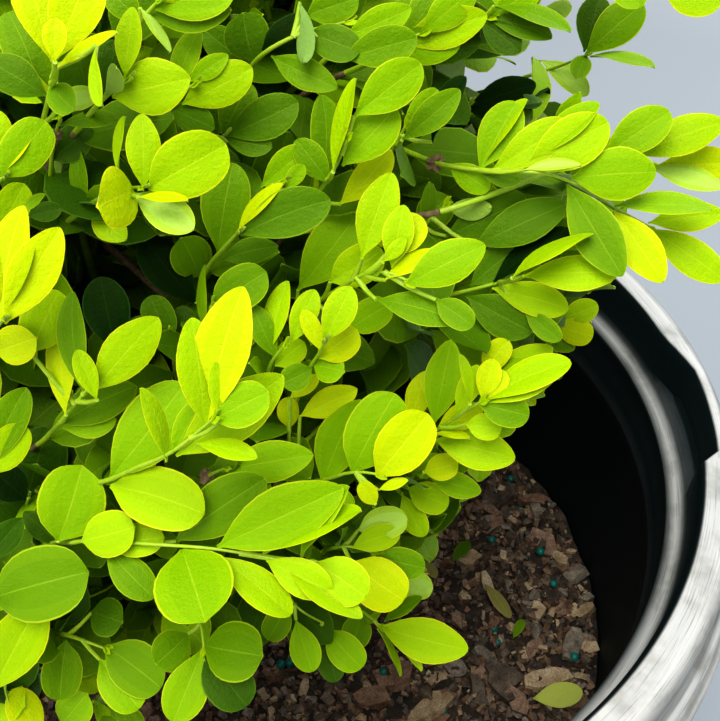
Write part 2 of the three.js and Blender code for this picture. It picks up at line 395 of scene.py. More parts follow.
pot = {
    "height": 240.0,
    "footRadius": 101.0,
    "floorThickness": 3.0,
    "wallAtFloor": 105.0,  # inside radius
    "wallAtLedge": 120.0,
    "wallSwell": 2.4,
    "ledgeDepth": 17.0,
    "wallThickness": 2.2,
    "collarRadius": 125.2,
    "rimRadius": 126.0,
    "lowerRidge": 141.0,
    "upperRidge": 138.6,
    "lipRadius": 136.0,
    "beadDepth": 36.0,
    "recess": 4.0,  # how far the two grips in the lip are pressed outwards
    "recessFrom": -10.0,  # degrees round the pot
    "recessTo": 13.0,
    "recessRise": 1.6,
    "recessFall": 7.0,
    "recessRadii": (124.5, 134.5),
    "recessFade": 6.0,
    "recessDepth": 14.5,
    "waves": [(0.35, 2, 30), (0.20, 5, 0)],  # how far the rim is out of round, how often, and its lag
    "steps": 180,
    "smoothAngle": 38,
    "drainHoles": 6,
    "drainRadius": 106.0,
    "drainHeight": 9.5,
    "drainSize": (16.0, 13.0, 9.0),
}

# Where the plastic is worn, and where a reflection of the sky and highlights are painted on it.
# Heights, and distances from the pot's middle, are in mm.
potWearAndSheen = {
    "ridgesFrom": 210.5,
    "lipFrom": 232.5,
    "outerSideFrom": 131.8,
    "innerSideTo": 131.2,
    "rimInnerEdge": 124.0,
    "rimBreadth": 18.0,
    # how pale the rim is from its inner edge outwards, as fractions of its breadth: bleaching and a painted
    # reflection of the sky
    "rimTones": [(0.0, 0.0), (0.115, 0.02), (0.16, 0.95), (0.34, 0.88), (0.47, 1.0), (0.56, 0.74),
                 (0.64, 0.46), (0.70, 0.42), (0.735, 0.85), (0.80, 1.0), (0.825, 0.52), (0.86, 0.48),
                 (0.89, 0.85), (1.0, 0.75)],
    "ledgeHeight": 223.6,
    # the ledge's dust and painted sheen, its inner edge's painted highlight, and the painted reflections on
    # the bead and the wall
    "ledgeDustAndSheen": 0.12,
    "ledgeEdgeRadius": 122.4,
    "ledgeEdgeHighlight": 0.88,
    "beadHeight": 204.2,
    "beadSheen": 0.04,
    "wallHeight": 213.5,
    "wallSheen": 0.016,
    # the plastic's two dark tones, tinted cool partly to paint the cool sheen that the inner wall shows
    "black": ((0.0022, 0.0072, 0.0080), (0.006, 0.014, 0.015)),
    # pale tones of dust and of the painted reflection of the sky
    "dustAndSheen": ((0.52, 0.495, 0.43), (0.63, 0.635, 0.63)),
    "sheen": (0.72, 0.93, 1.0),
}


def wallRadius(z):
    run = (z - pot["floorThickness"]) / (pot["height"] - pot["ledgeDepth"] - pot["floorThickness"])
    swell = pot["wallSwell"] * math.sin(math.pi * min(1, max(0, run)))
    return pot["wallAtFloor"] + (pot["wallAtLedge"] - pot["wallAtFloor"]) * run + swell


def arc(cx, cz, radius, fromAngle, toAngle, count):
    turns = np.radians(np.linspace(fromAngle, toAngle, count))
    return [(cx + radius * math.cos(t), cz + radius * math.sin(t)) for t in turns]


def potOutline():
    # the wall's section, as distances from the middle and heights: outside first, then back down inside
    top = pot["height"]
    ledge = top - pot["ledgeDepth"]
    wall = pot["wallThickness"]
    low, high, lip = pot["lowerRidge"], pot["upperRidge"], pot["lipRadius"]
    bead = top - pot["beadDepth"]
    line = [(0, 0), (40, 0), (80, 0), (98, 0)]
    line += arc(pot["footRadius"] - 0.5, 5, 5, -80, -5, 5)
    line += [(wallRadius(z) + wall, z) for z in (12, 20, 60, 100, 140, 180, 200, ledge - 5)]
    line += [(wallRadius(ledge - 4) + wall + 0.4, ledge - 3.4), (126.6, ledge + 0.4), (127.4, ledge + 2)]
    line += [(127.9, top - 8), (128.8, top - 5.6), (131, top - 5), (133.2, top - 6)]
    line += [(134.6, top - 9), (136.2, top - 16), (138.4, top - 25.6)]
    line += arc(139.6, top - 25.2, 1.0, -120, -10, 4)
    line += arc(low - 3.6, top - 21.5, 3.6, -18, 68, 6)
    line += [(high - 2.6, top - 17.4)]
    line += arc(high - 3.0, top - 13.6, 3.0, -50, 68, 6)
    line += [(lip - 1.6, top - 9.8)]
    line += arc(lip - 4.2, top - 5.4, 4.2, -42, 66, 7)
    line += [(lip - 5.4, top - 0.5), (lip - 7.5, top - 0.15), (pot["rimRadius"] + 1.4, top)]
    line += arc(pot["rimRadius"] + 1.2, top - 1.2, 1.2, 100, 180, 4)
    line += [(pot["collarRadius"], top - 3.2), (pot["collarRadius"] - 0.2, ledge + 3)]
    line += [(pot["collarRadius"] - 0.8, ledge + 1.2), (pot["collarRadius"] - 2, ledge + 0.3)]
    line += [(pot["wallAtLedge"] + 1, ledge), (pot["wallAtLedge"], ledge - 0.8)]
    line += [(wallRadius(bead + 2.2), bead + 2.2), (wallRadius(bead) - 0.7, bead + 0.8)]
    line += [(wallRadius(bead) - 0.7, bead - 0.8), (wallRadius(bead - 2.2), bead - 2.2)]
    line += [(wallRadius(z), z) for z in (180, 150, 120, 80, 40, 12)]
    line += [(104.2, 5), (102, 3.2), (60, 3), (0, 3)]
    return line


def pressLip(piece):
    # presses the two grips into the lip, and sets the rim a little out of round
    top = pot["height"] * mm
    inner, outer = (radius * mm for radius in pot["recessRadii"])
    for vertex in piece.data.vertices:
        x, y, z = vertex.co
        radius = math.hypot(x, y)
        if radius < pot["footRadius"] * mm / 2:
            continue
        turn = math.degrees(math.atan2(y, x))
        here = (turn + 270) % 180 - 90
        start = min(1, max(0, (here - pot["recessFrom"]) / pot["recessRise"]))
        end = min(1, max(0, (pot["recessTo"] - here) / pot["recessFall"]))
        onLip = z > top - pot["recessDepth"] * mm and inner < radius < outer
        share = min(1, max(0, (outer - radius) / (pot["recessFade"] * mm))) if onLip else 0
        swell = sum(high * mm * math.sin(math.radians(often * turn + lag))
                    for high, often, lag in pot["waves"])
        push = pot["recess"] * mm * start * end * share + swell * (z / top) ** 2
        vertex.co.x *= 1 + push / radius
        vertex.co.y *= 1 + push / radius


def cutDrains(piece):
    # slots round the foot of the wall
    reach = pot["drainRadius"] * mm
    for hole in range(pot["drainHoles"]):
        turn = (hole + 0.5) / pot["drainHoles"] * 2 * math.pi
        place = (reach * math.cos(turn), reach * math.sin(turn), pot["drainHeight"] * mm)
        bpy.ops.mesh.primitive_cube_add(size=1, location=place)
        cutter = bpy.context.active_object
        cutter.scale = [side * mm for side in pot["drainSize"]]
        cutter.rotation_euler = (0, 0, turn)
        cut = piece.modifiers.new("drain", "BOOLEAN")
        cut.operation = "DIFFERENCE"
        cut.object = cutter
        makeActive(piece)
        bpy.ops.object.modifier_apply(modifier="drain")
        bpy.data.objects.remove(cutter)


def makePot():
    outline = potOutline()
    mesh = bpy.data.meshes.new("pot")
    edges = [(k, k + 1) for k in range(len(outline) - 1)]
    mesh.from_pydata([(r * mm, 0, z * mm) for r, z in outline], edges, [])
    piece = bpy.data.objects.new("nurseryPot", mesh)
    bpy.context.scene.collection.objects.link(piece)
    makeActive(piece)
    bpy.ops.object.mode_set(mode="EDIT")
    bpy.ops.mesh.select_all(action="SELECT")
    bpy.ops.mesh.spin(steps=pot["steps"], angle=2 * math.pi, center=(0, 0, 0), axis=(0, 0, 1))
    bpy.ops.mesh.select_all(action="SELECT")
    bpy.ops.mesh.remove_doubles(threshold=0.00002)
    bpy.ops.mesh.normals_make_consistent(inside=False)
    bpy.ops.object.mode_set(mode="OBJECT")
    pressLip(piece)
    cutDrains(piece)
    bpy.ops.object.shade_smooth_by_angle(angle=math.radians(pot["smoothAngle"]))
    return piece


def scratchNoise(tree, away, turn, height):
    # scratches that run round the pot
    rings = addNode(tree, "ShaderNodeCombineXYZ")
    tree.links.new(maths(tree, "MULTIPLY", away, 2600), rings.inputs["X"])
    tree.links.new(maths(tree, "MULTIPLY", turn, 9.0), rings.inputs["Y"])
    tree.links.new(maths(tree, "MULTIPLY", height, 1800), rings.inputs["Z"])
    scratches = addNode(tree, "ShaderNodeTexNoise", Scale=1.0, Detail=3.0, Roughness=0.55)
    tree.links.new(rings.outputs[0], scratches.inputs["Vector"])
    return scratches.outputs["Fac"]


def potMaterial():
    material, tree, shader = newMaterial("scuffedBlackPlastic")
    marks = placeSpeckle(tree, 55, 700, 3)
    place = addNode(tree, "ShaderNodeTexCoord")
    split = addNode(tree, "ShaderNodeSeparateXYZ")
    tree.links.new(place.outputs["Object"], split.inputs[0])
    x, y, height = split.outputs["X"], split.outputs["Y"], split.outputs["Z"]
    away = maths(tree, "POWER", sumOfProducts(tree, (x, x), (y, y)), 0.5)
    scratches = scratchNoise(tree, away, maths(tree, "ARCTAN2", y, x), height)
    surface = addNode(tree, "ShaderNodeNewGeometry")
    faces = addNode(tree, "ShaderNodeSeparateXYZ")
    tree.links.new(surface.outputs["Normal"], faces.inputs[0])

    # the rim is paled on its lip and on the crests of its ridges, ring by ring: bleaching, and a painted
    # reflection of the sky
    across = risesPast(tree, away, potWearAndSheen["rimInnerEdge"] * mm, 1 / (potWearAndSheen["rimBreadth"] * mm))
    rings = ramp(tree, across, potWearAndSheen["rimTones"])
    aboveRidges = risesPast(tree, height, potWearAndSheen["ridgesFrom"] * mm, 300)
    outerSide = risesPast(tree, away, potWearAndSheen["outerSideFrom"] * mm, 2500)
    onLip = risesPast(tree, height, potWearAndSheen["lipFrom"] * mm, 400)
    onRim = maths(tree, "MAXIMUM", onLip, product(tree, aboveRidges, outerSide))
    # painted reflection: paler on faces that look up, and on those that look outwards from the wall
    upward = maths(tree, "ADD", maths(tree, "MULTIPLY", faces.outputs["Z"], 1.2), 0.75, clamp=True)
    around = sumOfProducts(tree, (faces.outputs["X"], x), (faces.outputs["Y"], y))
    outward = maths(tree, "DIVIDE", around, away)
    offTheWall = maths(tree, "ADD", product(tree, outward, 2.2), 1.5, clamp=True)
    bleachAndSheen = product(tree, onRim, product(tree, rings, offTheWall), upward)

    # dust and a painted sheen lie on the ledge inside, brightest as a painted highlight along its inner
    # edge, and faint painted reflections ring the bead and the wall below it
    inside = risesPast(tree, away, potWearAndSheen["innerSideTo"] * mm, -2500)
    onLedge = liesNear(tree, height, potWearAndSheen["ledgeHeight"] * mm, 380)
    atItsEdge = liesNear(tree, away, potWearAndSheen["ledgeEdgeRadius"] * mm, 400)
    ledgeTone = maths(tree, "ADD", product(tree, atItsEdge, potWearAndSheen["ledgeEdgeHighlight"]), potWearAndSheen["ledgeDustAndSheen"])
    onBead = liesNear(tree, height, potWearAndSheen["beadHeight"] * mm, 170)
    onWall = liesNear(tree, height, potWearAndSheen["wallHeight"] * mm, 105)
    ringDustAndSheen = ((onLedge, ledgeTone), (onBead, potWearAndSheen["beadSheen"]), (onWall, potWearAndSheen["wallSheen"]))
    for spot, tone in ringDustAndSheen:
        bleachAndSheen = maths(tree, "MAXIMUM", bleachAndSheen, product(tree, spot, inside, tone))
    patchy = ramp(tree, marks["Coarse mask"], [(0.33, 0.62), (0.5, 1)])
    streaky = ramp(tree, scratches, [(0.30, 0.62), (0.48, 1)])
    bleachAndSheen = product(tree, bleachAndSheen, patchy, streaky)

    black = mixColours(tree, ramp(tree, marks["Fine mask"], [(0.5, 0), (0.75, 1)]), *potWearAndSheen["black"])
    dustAndSheen = mixColours(tree, marks["Coarse mask"], *potWearAndSheen["dustAndSheen"])
    tree.links.new(mixColours(tree, bleachAndSheen, black, dustAndSheen), shader.inputs["Base Color"])
    # the inner wall is duller
    onTheWall = maths(tree, "SUBTRACT", 1.0, offTheWall)
    rough = sumOfProducts(tree, (marks["Fine mask"], 0.2), (bleachAndSheen, 0.12), (onTheWall, 0.34))
    tree.links.new(maths(tree, "ADD", rough, 0.18), shader.inputs["Roughness"])
    shader.inputs["IOR"].default_value = 1.5
    shader.inputs["Specular IOR Level"].default_value = 0.26
    shader.inputs["Specular Tint"].default_value = (*potWearAndSheen["sheen"], 1)
    addBump(tree, shader, maths(tree, "ADD", product(tree, scratches, 0.4), marks["Height"]), 0.16, 0.0003)
    return material


potPiece = makePot()
potPiece.data.materials.append(potMaterial())
finishPiece(potPiece, "pot", "pot")
print("pot ready", len(potPiece.data.polygons))


# Soil, its chips, feed grains and fallen leaves

soil = {
    "level": 134.0,
    "mound": 5.0,
    "moundRadius": 75.0,
    "rings": 96,
    "turns": 240,
    "lumpSize": 14.0,
    "lumpHeight": 3.4,
    "gritSize": 2.3,
    "gritHeight": 0.7,
    "bankWidth": 12.0,  # it is banked up unevenly against the wall
    "bankHeight": 1.6,
    "bankUneven": 2.6,
    "bankSize": 9.0,
    "chips": 1500,
    "chipSizes": ([1.0, 1.6, 2.5], [0.70, 0.24, 0.06]),  # and how often each comes
    "chipTones": [0.46, 0.34, 0.12, 0.08],  # how often each bark comes
    "crumbs": 12500,
    "crumbSizes": ([0.9, 1.5, 2.3, 3.2], [0.25, 0.35, 0.27, 0.13]),
    "crumbTones": [0.44, 0.33, 0.11, 0.12],
    "grains": 70,
    "grainSize": (1.25, 1.75),
}
wallAtSoil = wallRadius(soil["level"]) - 0.4


def soilHeight(x, y):
    radius = math.hypot(x, y)
    rise = soil["mound"] * max(0, 1 - radius / soil["moundRadius"]) ** 2
    lumps = noise.fractal(Vector((x / soil["lumpSize"], y / soil["lumpSize"], 3.1)), 0.9, 2.1, 4)
    grit = noise.noise(Vector((x / soil["gritSize"], y / soil["gritSize"], 9.4)))
    # it is smoother round the stem's foot
    calm = min(1, max(0.15, (radius - 12) / 20))
    bank = max(0, (radius - wallAtSoil + soil["bankWidth"]) / soil["bankWidth"]) ** 2
    uneven = noise.noise(Vector((x / soil["bankSize"], y / soil["bankSize"], 6.2)))
    rise += bank * (soil["bankHeight"] + soil["bankUneven"] * uneven)
    return soil["level"] + rise + calm * (soil["lumpHeight"] * lumps + soil["gritHeight"] * grit)


def makeSoil():
    # the bumpy top in rings from the middle outwards, then three rings down the wall to the floor
    rings, turns = soil["rings"], soil["turns"]
    circles = [(wallAtSoil * (ring / rings) ** 0.9, None) for ring in range(1, rings + 1)]
    circles += [(wallRadius(z) - 0.4, z) for z in (soil["level"] - 8, 60, 3.4)]
    verts = []
    for radius, z in circles:
        for turn in range(turns):
            angle = turn / turns * 2 * math.pi
            x, y = radius * math.cos(angle), radius * math.sin(angle)
            verts.append((x, y, soilHeight(x, y) if z is None else z))
    rows = len(circles)
    verts.append((0, 0, soilHeight(0, 0)))
    middle = len(verts) - 1
    a, b = ringCorners(rows, turns)
    quads = np.stack((a, a + turns, b + turns, b), axis=1).ravel()
    first = np.arange(turns)
    fan = np.stack((np.full(turns, middle), first, (first + 1) % turns), axis=1).ravel()
    under = ((rows - 1) * turns + first)[::-1]
    loops = np.concatenate((quads, fan, under))
    sizes = np.concatenate((np.full(len(a), 4), np.full(turns, 3), [turns]))
    return [(np.array(verts, dtype=float), loops, sizes, np.zeros(len(sizes), dtype=int))]


compostFinish = {
    "coarse": 180,
    "fine": 1300,
    "patches": (0.32, 0.5, 0.68),
    "fleckPlace": 0.35,
    "fleckTone": 0.45,
    "relief": 0.6,
    "reliefDepth": 0.0008,
}
chipFinish = {**compostFinish, "coarse": 300, "fine": 1700}

compostTones = [(0.019, 0.0135, 0.009), (0.052, 0.0355, 0.0235), (0.128, 0.088, 0.057)]
compost = mottledMaterial("darkCompost", compostTones, 5, 0.9, compostFinish)
soilPiece = meshPiece("soilBed", makeSoil(), [compost], 60)
finishPiece(soilPiece, "soil", "soil")

# each bark's tones, seed and roughness
chipBarks = {
    "barkDark": ([(0.058, 0.042, 0.027), (0.135, 0.096, 0.060), (0.235, 0.172, 0.112)], 11, 0.6),
    "barkRed": ([(0.145, 0.081, 0.047), (0.30, 0.172, 0.098), (0.465, 0.305, 0.187)], 12, 0.55),
    "barkTan": ([(0.36, 0.238, 0.116), (0.59, 0.42, 0.235), (0.73, 0.59, 0.37)], 13, 0.55),
    "barkGrey": ([(0.152, 0.124, 0.088), (0.29, 0.234, 0.166), (0.45, 0.382, 0.287)], 14, 0.65),
}
chipMaterials = [mottledMaterial(barkName, *values, chipFinish) for barkName, values in chipBarks.items()]


def chip(rng, length, width, thick, waist=True):
    # a splinter of bark: a block with a waist or without, every corner moved
    stations = ((-0.5, 0.55), (-0.2, 0.95), (0.2, 1.0), (0.5, 0.5)) if waist else ((-0.5, 0.8), (0.5, 1.0))
    rows = []
    for along, slim in stations:
        for side, level in ((-1, -1), (1, -1), (1, 1), (-1, 1)):
            rows.append((along * length, side * width / 2 * slim, level * thick / 2))
    loose = 1 if waist else 1.6
    moved = rng.normal(0, loose, (len(rows), 3)) * (length * 0.05, width * 0.09, thick * 0.12)
    verts = np.array(rows) + moved
    last = len(rows) - 4
    loops = [3, 2, 1, 0, last, last + 1, last + 2, last + 3]
    for ring in range(last // 4):
        for side in range(4):
            a, b = ring * 4 + side, ring * 4 + (side + 1) % 4
            loops += [a, b, b + 4, a + 4]
    return verts, np.array(loops), np.full(len(loops) // 4, 4)


def strewn(rng, reach, nearest, farthest=1):
    # an evenly strewn place on the bed: how far from its middle, and at what angle
    return reach * math.sqrt(rng.uniform(nearest, farthest)), rng.uniform(0, 2 * math.pi)


def layDown(rng, verts, x, y, tilt, lift):
    # the piece, turned at random, tilted a little and set down on the bed
    turn = Matrix.Rotation(rng.uniform(0, 2 * math.pi), 3, "Z")
    for axis in ("X", "Y"):
        turn = turn @ Matrix.Rotation(rng.normal(0, tilt), 3, axis)
    return verts @ np.array(turn).T + (x, y, soilHeight(x, y) + lift)


def onSoil(px, py):
    # where the line of sight through a pixel meets the soil
    near, far = seenAt(px, py, 100), seenAt(px, py, 200)
    way = far - near
    point = near + way * ((soil["level"] + 1.5 - near.z) / way.z)
    return point.x, point.y


# the large pieces that show near the crown's edge: pixel, length and width in mm, number of the bark
shownChips = [
    (548, 679, 17, 6.5, 2), (512, 700, 12, 6, 1), (396, 676, 13, 10, 1), (430, 708, 17, 8, 2),
    (586, 575, 9, 6, 3), (536, 611, 7, 6, 2), (503, 676, 12, 8, 0), (470, 562, 8, 6, 2),
    (540, 500, 12, 4, 1), (500, 690, 12, 5, 0), (455, 668, 8, 6, 3), (576, 700, 9, 5, 1),
    (372, 700, 12, 7, 1), (484, 655, 9, 4, 3), (560, 560, 8, 4, 2),
]
# pixels of the grains that show
shownGrains = [
    (533, 537), (540, 553), (511, 477), (492, 539), (553, 587), (456, 518), (494, 628), (281, 668),
    (520, 505),
]


def makeChips():
    rng = np.random.default_rng(41)
    parts = []
    chipSizes, chipShares = soil["chipSizes"]
    for k in range(soil["chips"]):
        radius, angle = strewn(rng, wallAtSoil - 1, 0.02)
        size = rng.choice(chipSizes, p=chipShares)
        length = rng.uniform(2.4, 4.6) * size
        width = length * rng.uniform(0.35, 0.7)
        verts, loops, sizes = chip(rng, length, width, length * rng.uniform(0.14, 0.28))
        reach = min(radius, wallAtSoil - length * 0.56)
        verts = layDown(rng, verts, reach * math.cos(angle), reach * math.sin(angle), 0.28, length * 0.08)
        mat = rng.choice(len(chipMaterials), p=soil["chipTones"])
        parts.append((verts, loops, sizes, np.full(len(sizes), mat)))
    for px, py, length, width, mat in shownChips:
        verts, loops, sizes = chip(rng, length, width, 2.6)
        x, y = onSoil(px, py)
        radius = math.hypot(x, y)
        pull = min(1, (wallAtSoil - length * 0.55) / radius)
        verts = layDown(rng, verts, x * pull, y * pull, 0.12, 1.6)
        parts.append((verts, loops, sizes, np.full(len(sizes), mat)))
    return parts


def makeCrumbs():
    rng = np.random.default_rng(43)
    parts = []
    crumbSizes, crumbShares = soil["crumbSizes"]
    for k in range(soil["crumbs"]):
        size = rng.choice(crumbSizes, p=crumbShares) * rng.uniform(0.8, 1.25)
        width = size * rng.uniform(0.5, 0.9)
        verts, loops, sizes = chip(rng, size, width, size * rng.uniform(0.35, 0.6), False)
        radius, angle = strewn(rng, wallAtSoil - 0.5 * size - 0.3, 0.01)
        verts = layDown(rng, verts, radius * math.cos(angle), radius * math.sin(angle), 1.0, size * 0.3)
        mat = rng.choice(len(chipMaterials), p=soil["crumbTones"])
        parts.append((verts, loops, sizes, np.full(len(sizes), mat)))
    return parts


finishPiece(meshPiece("barkChips", makeChips(), chipMaterials, 25), "soil")
finishPiece(meshPiece("barkCrumbs", makeCrumbs(), chipMaterials, 25), "soil")


def makeGrains():
    rng = np.random.default_rng(47)
    deselectAll()
    bpy.ops.mesh.primitive_ico_sphere_add(subdivisions=2, radius=1)
    ball = bpy.context.active_object
    ballVerts = np.array([v.co for v in ball.data.vertices])
    ballLoops = np.array([i for p in ball.data.polygons for i in p.vertices])
    bpy.data.objects.remove(ball)
    places = [onSoil(px, py) for px, py in shownGrains]
    while len(places) < soil["grains"]:
        radius, angle = strewn(rng, wallAtSoil - 5, 0.02)
        places.append((radius * math.cos(angle), radius * math.sin(angle)))
    parts = []
    for x, y in places:
        size = rng.uniform(*soil["grainSize"])
        verts = ballVerts * size * (1, 1, 0.9) + (x, y, soilHeight(x, y) + size * 0.9)
        parts.append((verts, ballLoops, np.full(len(ballLoops) // 3, 3), np.zeros(len(ballLoops) // 3)))
    return parts


grainMaterial, grainTree, grainShader = newMaterial("feedGrain")
grainMarks = placeSpeckle(grainTree, 500, 2500, 21)
grainTree.links.new(ramp(grainTree, grainMarks["Coarse mask"], [
    (0.3, (0.0, 0.12, 0.09)), (0.7, (0.01, 0.26, 0.20))]), grainShader.inputs["Base Color"])
grainShader.inputs["Roughness"].default_value = 0.35
finishPiece(meshPiece("feedGrains", makeGrains(), [grainMaterial], 60), "soil")
print("soil ready")


# Leaf shapes. A leaf is a thin closed blade: pale margin, blade, midrib, and a matte underside.

leafShape = {
    "stations": [0.0, 0.09, 0.25, 0.44, 0.64, 0.82, 0.94, 1.0],
    "fineStations": [0.0, 0.05, 0.12, 0.22, 0.34, 0.46, 0.58, 0.69, 0.79, 0.87, 0.93, 0.975, 1.0],
    # half width along the leaf: with a drawn-out tip, with a blunt tip, and for the broadest leaves
    "pointed": [
        (0, 0.05), (0.05, 0.10), (0.12, 0.28), (0.22, 0.55), (0.34, 0.80), (0.46, 0.95), (0.55, 1.0),
        (0.64, 0.98), (0.74, 0.87), (0.84, 0.68), (0.92, 0.48), (0.97, 0.29), (1.0, 0.09),
    ],
    "blunt": [
        (0, 0.05), (0.05, 0.10), (0.12, 0.27), (0.22, 0.52), (0.34, 0.77), (0.46, 0.93), (0.57, 1.0),
        (0.68, 0.98), (0.78, 0.89), (0.87, 0.72), (0.93, 0.55), (0.975, 0.34), (1.0, 0.13),
    ],
    "round": [
        (0, 0.05), (0.05, 0.15), (0.12, 0.37), (0.22, 0.67), (0.34, 0.88), (0.46, 0.98), (0.58, 1.0),
        (0.69, 0.97), (0.79, 0.89), (0.87, 0.77), (0.93, 0.61), (0.975, 0.38), (1.0, 0.14),
    ],
    "margin": 0.945,  # where the pale edge starts, of the half width
    "midrib": 0.026,
    "thickness": 0.32,
}


# the materials of a leaf's parts, in the order that each family has them
bladePart, marginPart, midribPart, undersidePart, heartPart = range(5)


def leafTemplate(fine, outline, fold, roll, bow, narrow):
    # one long, as the points of its upper side row by row, each with one below the midrib
    stations = np.array(leafShape["fineStations" if fine else "stations"])
    edge = np.interp(stations, *zip(*leafShape[outline])) ** narrow
    margin, midrib = leafShape["margin"], leafShape["midrib"]
    if fine:
        columns = [-1, -margin, -0.6, -midrib, midrib, 0.6, margin, 1]
        kinds = [marginPart, bladePart, heartPart, midribPart, heartPart, bladePart, marginPart]
    else:
        columns = [-1, -margin, -midrib, midrib, margin, 1]
        kinds = [marginPart, bladePart, midribPart, bladePart, marginPart]
    wide = len(columns) + 1
    x, y, z, arches, under = [], [], [], [], []
    dent = 0.02  # how deep the midrib lies
    for u, w in zip(stations, edge):
        arch = bow * u * (1 - u) * 1.6
        for v in columns:
            side = abs(v) * w
            notch = -0.012 if abs(v) < 0.1 and u > 0.99 else 0
            x.append(u + notch)
            y.append(v * w)
            z.append(fold * side - roll * side ** 2 - (dent if abs(v) < 0.1 else 0))
            arches.append(arch)
            under.append(0)
        x.append(u)
        y.append(0)
        z.append(-dent)
        arches.append(arch)
        under.append(1)
    loops, mats = [], []
    top = len(columns)
    for row in range(len(stations) - 1):
        a = row * wide
        b = a + wide
        for k in range(top - 1):
            loops += [a + k, b + k, b + k + 1, a + k + 1]
            mats.append(kinds[k])
        loops += [a, a + top, b + top, b]
        loops += [a + top, a + top - 1, b + top - 1, b + top]
        mats += [undersidePart, undersidePart]
    sizes = [4] * len(mats)
    last = (len(stations) - 1) * wide
    loops += list(range(0, top)) + [top]
    loops += list(range(last + top - 1, last - 1, -1)) + [last + top]
    sizes += [top + 1, top + 1]
    mats += [midribPart, marginPart]
    points = {"x": x, "y": y, "z": z, "arch": arches, "under": under}
    faces = {"loops": loops, "sizes": sizes, "mats": mats}
    return {name: np.array(values) for name, values in {**points, **faces}.items()}


# each kind's fold along the midrib, roll of its sides, arch and slimness
shapeKinds = [(0.24, 0.14, 0.10, 1.0), (0.34, 0.26, 0.16, 1.0), (0.14, 0.24, 0.22, 0.92),
              (0.42, 0.14, -0.10, 1.08), (0.28, 0.36, 0.26, 1.0), (0.72, 0.26, 0.12, 1.1)]
outlines = ("pointed", "blunt", "round")
coarseShapes = [leafTemplate(False, outline, *kind) for outline in outlines for kind in shapeKinds]
fineShapes = [leafTemplate(True, outline, *kind) for outline in outlines for kind in shapeKinds]

# Colours of the leaves: blade, margin, midrib, underside and the blade's middle. Seven families go
# from the youngest to the oldest, the darkest also painted shade deep in the crown; then a faded one,
# and a pale one that is a painted sheen.
leafColours = {
    "young": [(0.49, 0.60, 0.001), (0.72, 0.69, 0.01), (0.55, 0.63, 0.01),
              (0.55, 0.62, 0.12), (0.45, 0.58, 0.001)],
    "lime": [(0.34, 0.52, 0.001), (0.58, 0.64, 0.01), (0.40, 0.56, 0.01),
             (0.36, 0.49, 0.05), (0.31, 0.50, 0.001)],
    "bright": [(0.235, 0.42, 0.001), (0.46, 0.57, 0.01), (0.29, 0.46, 0.01),
               (0.28, 0.42, 0.06), (0.21, 0.395, 0.001)],
    "grass": [(0.14, 0.275, 0.001), (0.31, 0.44, 0.01), (0.19, 0.33, 0.01),
              (0.20, 0.34, 0.07), (0.122, 0.255, 0.001)],
    "green": [(0.083, 0.185, 0.002), (0.18, 0.30, 0.01), (0.12, 0.23, 0.01),
              (0.14, 0.26, 0.07), (0.073, 0.168, 0.002)],
    "deep": [(0.038, 0.105, 0.002), (0.085, 0.18, 0.01), (0.055, 0.135, 0.008),
             (0.07, 0.15, 0.05), (0.033, 0.093, 0.002)],
    # near black: the oldest leaves, and painted shade for leaves deep in the crown
    "shade": [(0.006, 0.025, 0.002), (0.018, 0.05, 0.01), (0.010, 0.034, 0.004),
              (0.025, 0.055, 0.02), (0.005, 0.021, 0.002)],
    "faded": [(0.36, 0.27, 0.10), (0.45, 0.36, 0.16), (0.45, 0.36, 0.16),
              (0.32, 0.26, 0.14), (0.30, 0.30, 0.07)],
    "milky": [(0.38, 0.58, 0.04), (0.56, 0.66, 0.05), (0.42, 0.61, 0.06),
              (0.34, 0.50, 0.07), (0.42, 0.63, 0.09)],
}
darkestFamily = list(leafColours).index("shade")

leafFinish = {
    "rough": {"Blade": 0.36, "Margin": 0.38, "Midrib": 0.40, "Underside": 0.62, "Heart": 0.34},
    "shadeRough": 0.12,  # what the darkest leaves have more
    "gloss": 0.18,
    "shadeGloss": 0.06,
    "glossTint": (1.0, 1.0, 0.35),
    "soft": ("young", "lime", "bright", "grass"),  # light goes into these the most
    "softGlow": 0.3,
    "firmGlow": 0.1,
}


def leafMaterial(family, part, colour):
    name = family + part
    shaded = family == "shade"
    material, tree, shader = newMaterial(name)
    shader.inputs["Base Color"].default_value = (*colour, 1)
    shader.inputs["IOR"].default_value = 1.45
    shader.inputs["Specular IOR Level"].default_value = leafFinish["shadeGloss" if shaded else "gloss"]
    shader.inputs["Specular Tint"].default_value = (*leafFinish["glossTint"], 1)
    glow = leafFinish["softGlow" if family in leafFinish["soft"] else "firmGlow"]
    shader.inputs["Subsurface Weight"].default_value = glow
    shader.inputs["Subsurface Radius"].default_value = (0.9, 1.0, 0.25)
    shader.inputs["Subsurface Scale"].default_value = 0.0006
    marks = placeSpeckle(tree, 300, 1700, len(name))
    rough = leafFinish["rough"][part] + (leafFinish["shadeRough"] if shaded else 0)
    roughness = maths(tree, "ADD", maths(tree, "MULTIPLY", marks["Coarse mask"], 0.24), rough - 0.12)
    tree.links.new(roughness, shader.inputs["Roughness"])
    addBump(tree, shader, marks["Height"], 0.7, 0.0005)
    return material


leafMaterials = [leafMaterial(family, part, colour) for family, colours in leafColours.items()
                 for part, colour in zip(leafFinish["rough"], colours)]


Leaf = namedtuple("Leaf", "base way up length width shape family fine")


